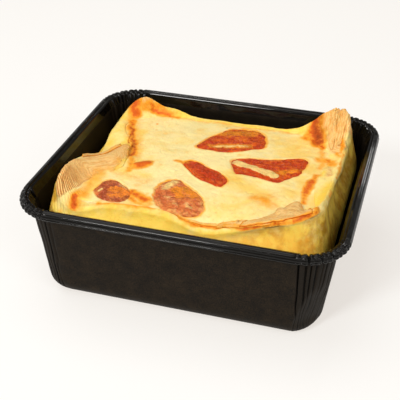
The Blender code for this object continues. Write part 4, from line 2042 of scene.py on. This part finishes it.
@dataclass(frozen=True)
class BakedFinish:
    """Custard and pastry: pale to golden yellow, flaky cream, browned patches, painted shade on the
    pastry's outer side.
    """

    name: str
    pale: Colour
    gold: Colour
    cream: Colour = screen(252, 208, 134)
    cream_deep: Colour = screen(240, 178, 96)
    flake_line: Colour = screen(186, 108, 40)
    amber: Colour = screen(248, 166, 44)
    brown: Colour = screen(216, 94, 2)
    dark: Colour = screen(118, 44, 2)
    # Painted shade on the pastry's outer side below the crest, mottled darker and lighter yellow.
    olive_shade: Colour = screen(206, 150, 36)
    side_yellow: Colour = screen(252, 212, 84)
    rough: float = 0.46
    comb_turn: float = 5.2

    def make(self) -> Material:
        """Build the node material.

        Returns:
            The material.
        """
        work = Palette(self.name)
        gold, cream, brown, dark = work.channels("bake")
        fibre = work.number("fibre")
        outside = work.number("outside")
        halo = work.number("halo")
        broad = work.noise(150.0, 5.0)
        patch = work.noise(420.0, 7.0, roughness=0.62)
        fine = work.noise(1700.0, 5.0)
        strand = work.strands(fibre, 1.6, 240.0)
        thin = work.strands(fibre, 3.4, 420.0)
        crease = work.line(work.noise(210.0, 6.0, roughness=0.6), 0.012)
        vary = work.times(work.less(patch, 0.5), 1.6)
        yellow = work.plus(gold, work.times(work.less(broad, 0.44), 1.9))
        base = work.mix(work.span(yellow, 0.0, 1.05), self.pale, self.gold)
        # Painted shade: darker mottling on the pastry's outer side below the crest.
        side = work.mix(work.span(broad, 0.40, 0.60), self.olive_shade, self.side_yellow)
        base = work.mix(work.times(outside, work.span(patch, 0.25, 0.6, 0.55, 1.0)), base, side)
        layer = work.mix(work.span(work.plus(strand, thin), 0.84, 1.14), self.cream_deep, self.cream)
        torn = work.times(work.line(strand, 0.03), work.span(patch, 0.48, 0.66))
        layer = work.mix(work.times(torn, 0.7), layer, self.flake_line)
        shown = work.plus(cream, work.times(work.less(patch, 0.5), 0.6))
        flaky = work.span(shown, 0.3, 0.75)
        phase = work.plus(fibre, work.times(patch, 0.5))
        wave = work.math("SINE", work.times(phase, self.comb_turn), 0.0)
        comb = work.times(work.number("comb"), work.span(wave, 0.1, 1.0))
        layer = work.mix(comb, layer, self.flake_line)
        base = work.mix(flaky, base, layer)
        faint = work.times(work.span(broad, 0.52, 0.72), 0.22)
        toast = work.math("MAXIMUM", work.math("MAXIMUM", brown, halo), faint)
        toast = work.times(toast, work.plus(vary, 1.0))
        base = work.mix(work.span(toast, 0.06, 0.52), base, self.amber)
        base = work.mix(work.span(toast, 0.42, 0.95), base, self.brown)
        base = work.mix(work.span(toast, 0.95, 1.6, 0.0, 0.75), base, self.dark)
        base = work.mix(work.times(dark, work.span(patch, 0.3, 0.6, 0.3, 1.0)), base, self.dark)
        base = work.mix(work.times(crease, work.span(fine, 0.4, 0.6, 0.0, 0.28)), base, self.brown)
        work.set("Base Color", base)
        matt = work.plus(work.times(cream, 0.3), work.span(patch, 0.3, 0.7, 0.0, 0.16))
        work.set("Roughness", work.plus(matt, self.rough - 0.08))
        flakes = work.times(work.plus(strand, work.times(thin, 0.6)), flaky)
        grain = work.plus(work.times(fine, 0.35), work.times(patch, 0.9))
        relief = work.plus(grain, work.times(flakes, 2.2))
        relief = work.less(relief, work.times(crease, 0.10))
        relief = work.less(relief, work.times(comb, 1.4))
        work.bump(relief, 0.0005, 0.6)
        work.set("Specular IOR Level", 0.22)
        work.set("Subsurface Weight", 0.08)
        work.set("Subsurface Scale", 0.002)
        return work.material


@dataclass(frozen=True)
class TomatoFinish:
    """Roasted tomato: red skin, orange flesh and custard smears under a wet gloss."""

    name: str
    red: Colour
    deep: Colour
    rim: Colour
    flesh: Colour
    vein: Colour
    film: float
    smear: Colour = screen(255, 216, 132)
    burnt: Colour = screen(150, 64, 14)

    def make(self) -> Material:
        """Build the node material.

        Returns:
            The material.
        """
        work = Palette(self.name)
        gold, cream, brown, edge = work.channels("flesh")
        patch = work.noise(430.0, 7.0, roughness=0.65)
        cloud = work.noise(260.0, 5.0)
        other = work.noise(310.0, 6.0, (1.3, 0.8, 1.0))
        fine = work.noise(1700.0, 5.0)
        vein = work.line(work.noise(480.0, 5.0, roughness=0.6), 0.028)
        fold = work.line(work.noise(300.0, 6.0, roughness=0.62), 0.016)
        sway = work.times(work.less(patch, 0.5), 2.2)
        drift = work.times(work.less(other, 0.5), 2.6)
        base = work.mix(work.span(patch, 0.38, 0.62), self.deep, self.red)
        base = work.mix(work.times(vein, work.span(cloud, 0.4, 0.6, 0.1, 0.7)), base, self.vein)
        base = work.mix(work.span(work.plus(brown, sway), 0.3, 1.2, 0.0, 0.9), base, self.deep)
        base = work.mix(work.span(work.plus(gold, sway), 0.25, 0.95), base, self.flesh)
        base = work.mix(work.span(work.plus(gold, drift), 1.0, 1.6, 0.0, 0.7), base, self.burnt)
        base = work.mix(work.times(fold, 0.5), base, self.burnt)
        wet = work.plus(cream, work.times(sway, 0.45))
        wet = work.plus(wet, work.times(drift, self.film))
        base = work.mix(work.span(wet, 0.35, 0.8, 0.0, 0.95), base, self.smear)
        base = work.mix(work.times(edge, work.span(cloud, 0.35, 0.6, 0.2, 0.85)), base, self.rim)
        work.set("Base Color", base)
        work.set("Roughness", work.span(fine, 0.3, 0.7, 0.14, 0.30))
        relief = work.less(work.plus(fine, work.times(patch, 1.6)), work.times(fold, 0.4))
        work.bump(relief, 0.0006, 0.8)
        work.set("Specular IOR Level", 0.22)
        work.set("Subsurface Weight", 0.06)
        work.set("Subsurface Scale", 0.002)
        return work.material


def tomato_finishes() -> list[TomatoFinish]:
    """The three kinds of roasted tomato: bare, under a film of custard and browned.

    Returns:
        The finishes, one of each kind.
    """
    return [
        TomatoFinish("open", screen(236, 98, 14), screen(196, 52, 8), screen(174, 46, 10),
                     screen(240, 138, 28), screen(236, 122, 62), 0.0),
        TomatoFinish("covered", screen(238, 140, 70), screen(206, 96, 42), screen(242, 176, 98),
                     screen(248, 146, 34), screen(238, 156, 116), 0.35),
        TomatoFinish("toasted", screen(216, 116, 60), screen(168, 70, 34), screen(230, 146, 74),
                     screen(252, 142, 44), screen(232, 146, 116), 0.2),
    ]


@dataclass(frozen=True)
class BoardFinish:
    """Black board with fibre grain, matt as it comes or with a glossy coating; painted shade in its folds,
    crimps and inner faces, painted highlight on its pleats' ridges.
    """

    name: str
    rough: float
    specular: float
    black: Colour = screen(14, 11, 7)
    worn: Colour = screen(48, 38, 26)
    # Painted shade: colour of the folds, the crimps and the darkened inner faces.
    fold: Colour = screen(4, 3, 2)
    # Painted highlight on the ridges between the folds.
    ridge_highlight: Colour = screen(30, 25, 19)
    coat: float = 0.0

    def make(self) -> Material:
        """Build the node material.

        Returns:
            The material.
        """
        work = Palette(self.name)
        _, inside, fold, ridge_highlight = work.channels("coating")
        fibre = work.noise(2600.0, 4.0)
        cloud = work.noise(240.0, 5.0)
        speck = work.plus(work.times(fibre, 0.7), work.times(cloud, 0.3))
        base = work.mix(work.span(speck, 0.35, 0.75), self.black, self.worn)
        # Painted shade on the inner faces.
        base = work.mix(work.times(inside, 0.65), base, self.fold)
        # Painted highlight on the ridges between the folds.
        base = work.mix(work.times(ridge_highlight, work.span(speck, 0.3, 0.7, 0.4, 1.0)), base, self.ridge_highlight)
        # Painted shade in the folds and the rim's crimps.
        work.set("Base Color", work.mix(work.span(fold, 0.12, 0.7), base, self.fold))
        work.set("Roughness", work.span(speck, 0.3, 0.7, self.rough - 0.06, self.rough + 0.06))
        work.bump(speck, 0.0002, 0.2)
        work.set("Specular IOR Level", self.specular)
        work.set("Coat Weight", self.coat)
        work.set("Coat Roughness", 0.03)
        return work.material


@dataclass
class Studio:
    """Plain pale floor, soft light and the photograph's camera."""

    camera_place: tuple[float, float, float] = (0.081749, -0.285023, 0.213118)
    camera_back: tuple[float, float, float] = (0.243276, -0.807849, 0.536839)
    camera_roll: float = -0.13
    lens: float = 77.555
    sensor: float = 36.0
    floor_size: float = 6.0
    floor_colour: Colour = (0.30, 0.33, 0.35)
    floor_shade: Colour = (0.28, 0.30, 0.31)
    floor_glow: Colour = (0.68, 0.63, 0.58)
    air_colour: Colour = (1.0, 0.985, 0.965)
    air_strength: float = 0.27

    def camera(self) -> None:
        """Set the camera at the photograph's place and angle."""
        data = bpy.data.cameras.new("camera")
        data.lens = self.lens
        data.sensor_width = self.sensor
        data.clip_start = 0.01
        camera = bpy.data.objects.new("camera", data)
        bpy.context.scene.collection.objects.link(camera)
        turn = Vector(self.camera_back).to_track_quat("Z", "Y").to_matrix()
        turn = turn @ Matrix.Rotation(math.radians(self.camera_roll), 3, "Z")
        camera.matrix_world = Matrix.Translation(self.camera_place) @ turn.to_4x4()
        bpy.context.scene.camera = camera

    def light(self, name: str, place: Sequence[float], size: float, power: float, colour: Colour) -> None:
        """Hang one square soft box that looks at the object.

        Args:
            name: The light's name.
            place: Its place in metres.
            size: Length of its sides in metres.
            power: Its power in watts.
            colour: Its colour.
        """
        data = bpy.data.lights.new(name, "AREA")
        data.shape = "SQUARE"
        data.size = size
        data.energy = power
        data.color = colour
        lamp = bpy.data.objects.new(name, data)
        lamp.location = place
        aim = Vector(place) - Vector((0.0, 0.0, 0.03))
        lamp.rotation_euler = aim.to_track_quat("Z", "Y").to_euler()
        bpy.context.scene.collection.objects.link(lamp)

    def floor(self) -> None:
        """Lay the pale floor under the tray."""
        plane = bpy.ops.mesh.primitive_plane_add
        floor = Skin.start("studio_floor", plane, size=self.floor_size, location=(0.0, 0.0, 0.0))
        work = Palette("pale_floor")
        cloud = work.noise(3.0, 2.0)
        work.set("Base Color", work.mix(work.times(cloud, 0.2), self.floor_colour, self.floor_shade))
        work.set("Emission Color", self.floor_glow)
        work.set("Emission Strength", 1.0)
        work.set("Roughness", 0.8)
        floor.data.materials.append(work.material)

    def world(self) -> None:
        """Fill the room with soft white light."""
        world = bpy.data.worlds.new("studio")
        world.use_nodes = True
        back = world.node_tree.nodes["Background"]
        back.inputs["Color"].default_value = (*self.air_colour, 1.0)
        back.inputs["Strength"].default_value = self.air_strength
        bpy.context.scene.world = world

    def build(self) -> None:
        """Set camera, floor and lights."""
        bpy.context.scene.view_settings.view_transform = "Standard"
        self.camera()
        self.floor()
        self.world()
        self.light("top", (-0.30, 0.05, 0.85), 0.80, 3.6, (1.0, 0.98, 0.95))
        self.light("rear", (0.10, 0.80, 0.50), 0.05, 0.35, (1.0, 0.99, 0.97))
        self.light("front", (-0.30, -0.78, 0.64), 0.22, 6.2, (1.0, 0.98, 0.95))
        self.light("fill", (0.58, -0.50, 0.60), 0.45, 2.3, (1.0, 0.98, 0.95))


def main() -> None:
    """Build the studio and the quiche, piece by piece."""
    logging.basicConfig(level=logging.INFO, format="%(message)s")
    Studio().build()
    form = QuicheForm()
    board = BoardFinish("black_board", 0.56, 0.08).make()
    coating = BoardFinish(
        "black_board_coating", 0.12, 0.04, screen(5, 4, 3), screen(20, 17, 12), coat=0.4,
    ).make()
    custard = BakedFinish("set_custard", screen(250, 228, 158), screen(249, 208, 104)).make()
    pastry = BakedFinish("baked_pastry", screen(249, 224, 142), screen(252, 212, 84), rough=0.5).make()
    skins = {finish.name: finish.make() for finish in tomato_finishes()}
    shapes = tomato_shapes()
    BakingTray(form.tray).build(board, coating)
    shell = PastryCase(form).build(pastry)
    filling = Custard(form, shapes).build(custard)
    depsgraph = bpy.context.evaluated_depsgraph_get()
    grounds = [BVHTree.FromObject(piece, depsgraph) for piece in (shell, filling)]
    for number, shape in enumerate(flake_shapes(), 1):
        Flake(f"pastry_flake_{number}", shape).build(grounds, pastry)
    for tomato_shape in shapes:
        TomatoPiece(form, tomato_shape).build(skins[tomato_shape.skin])


if __name__ == "__main__":
    main()
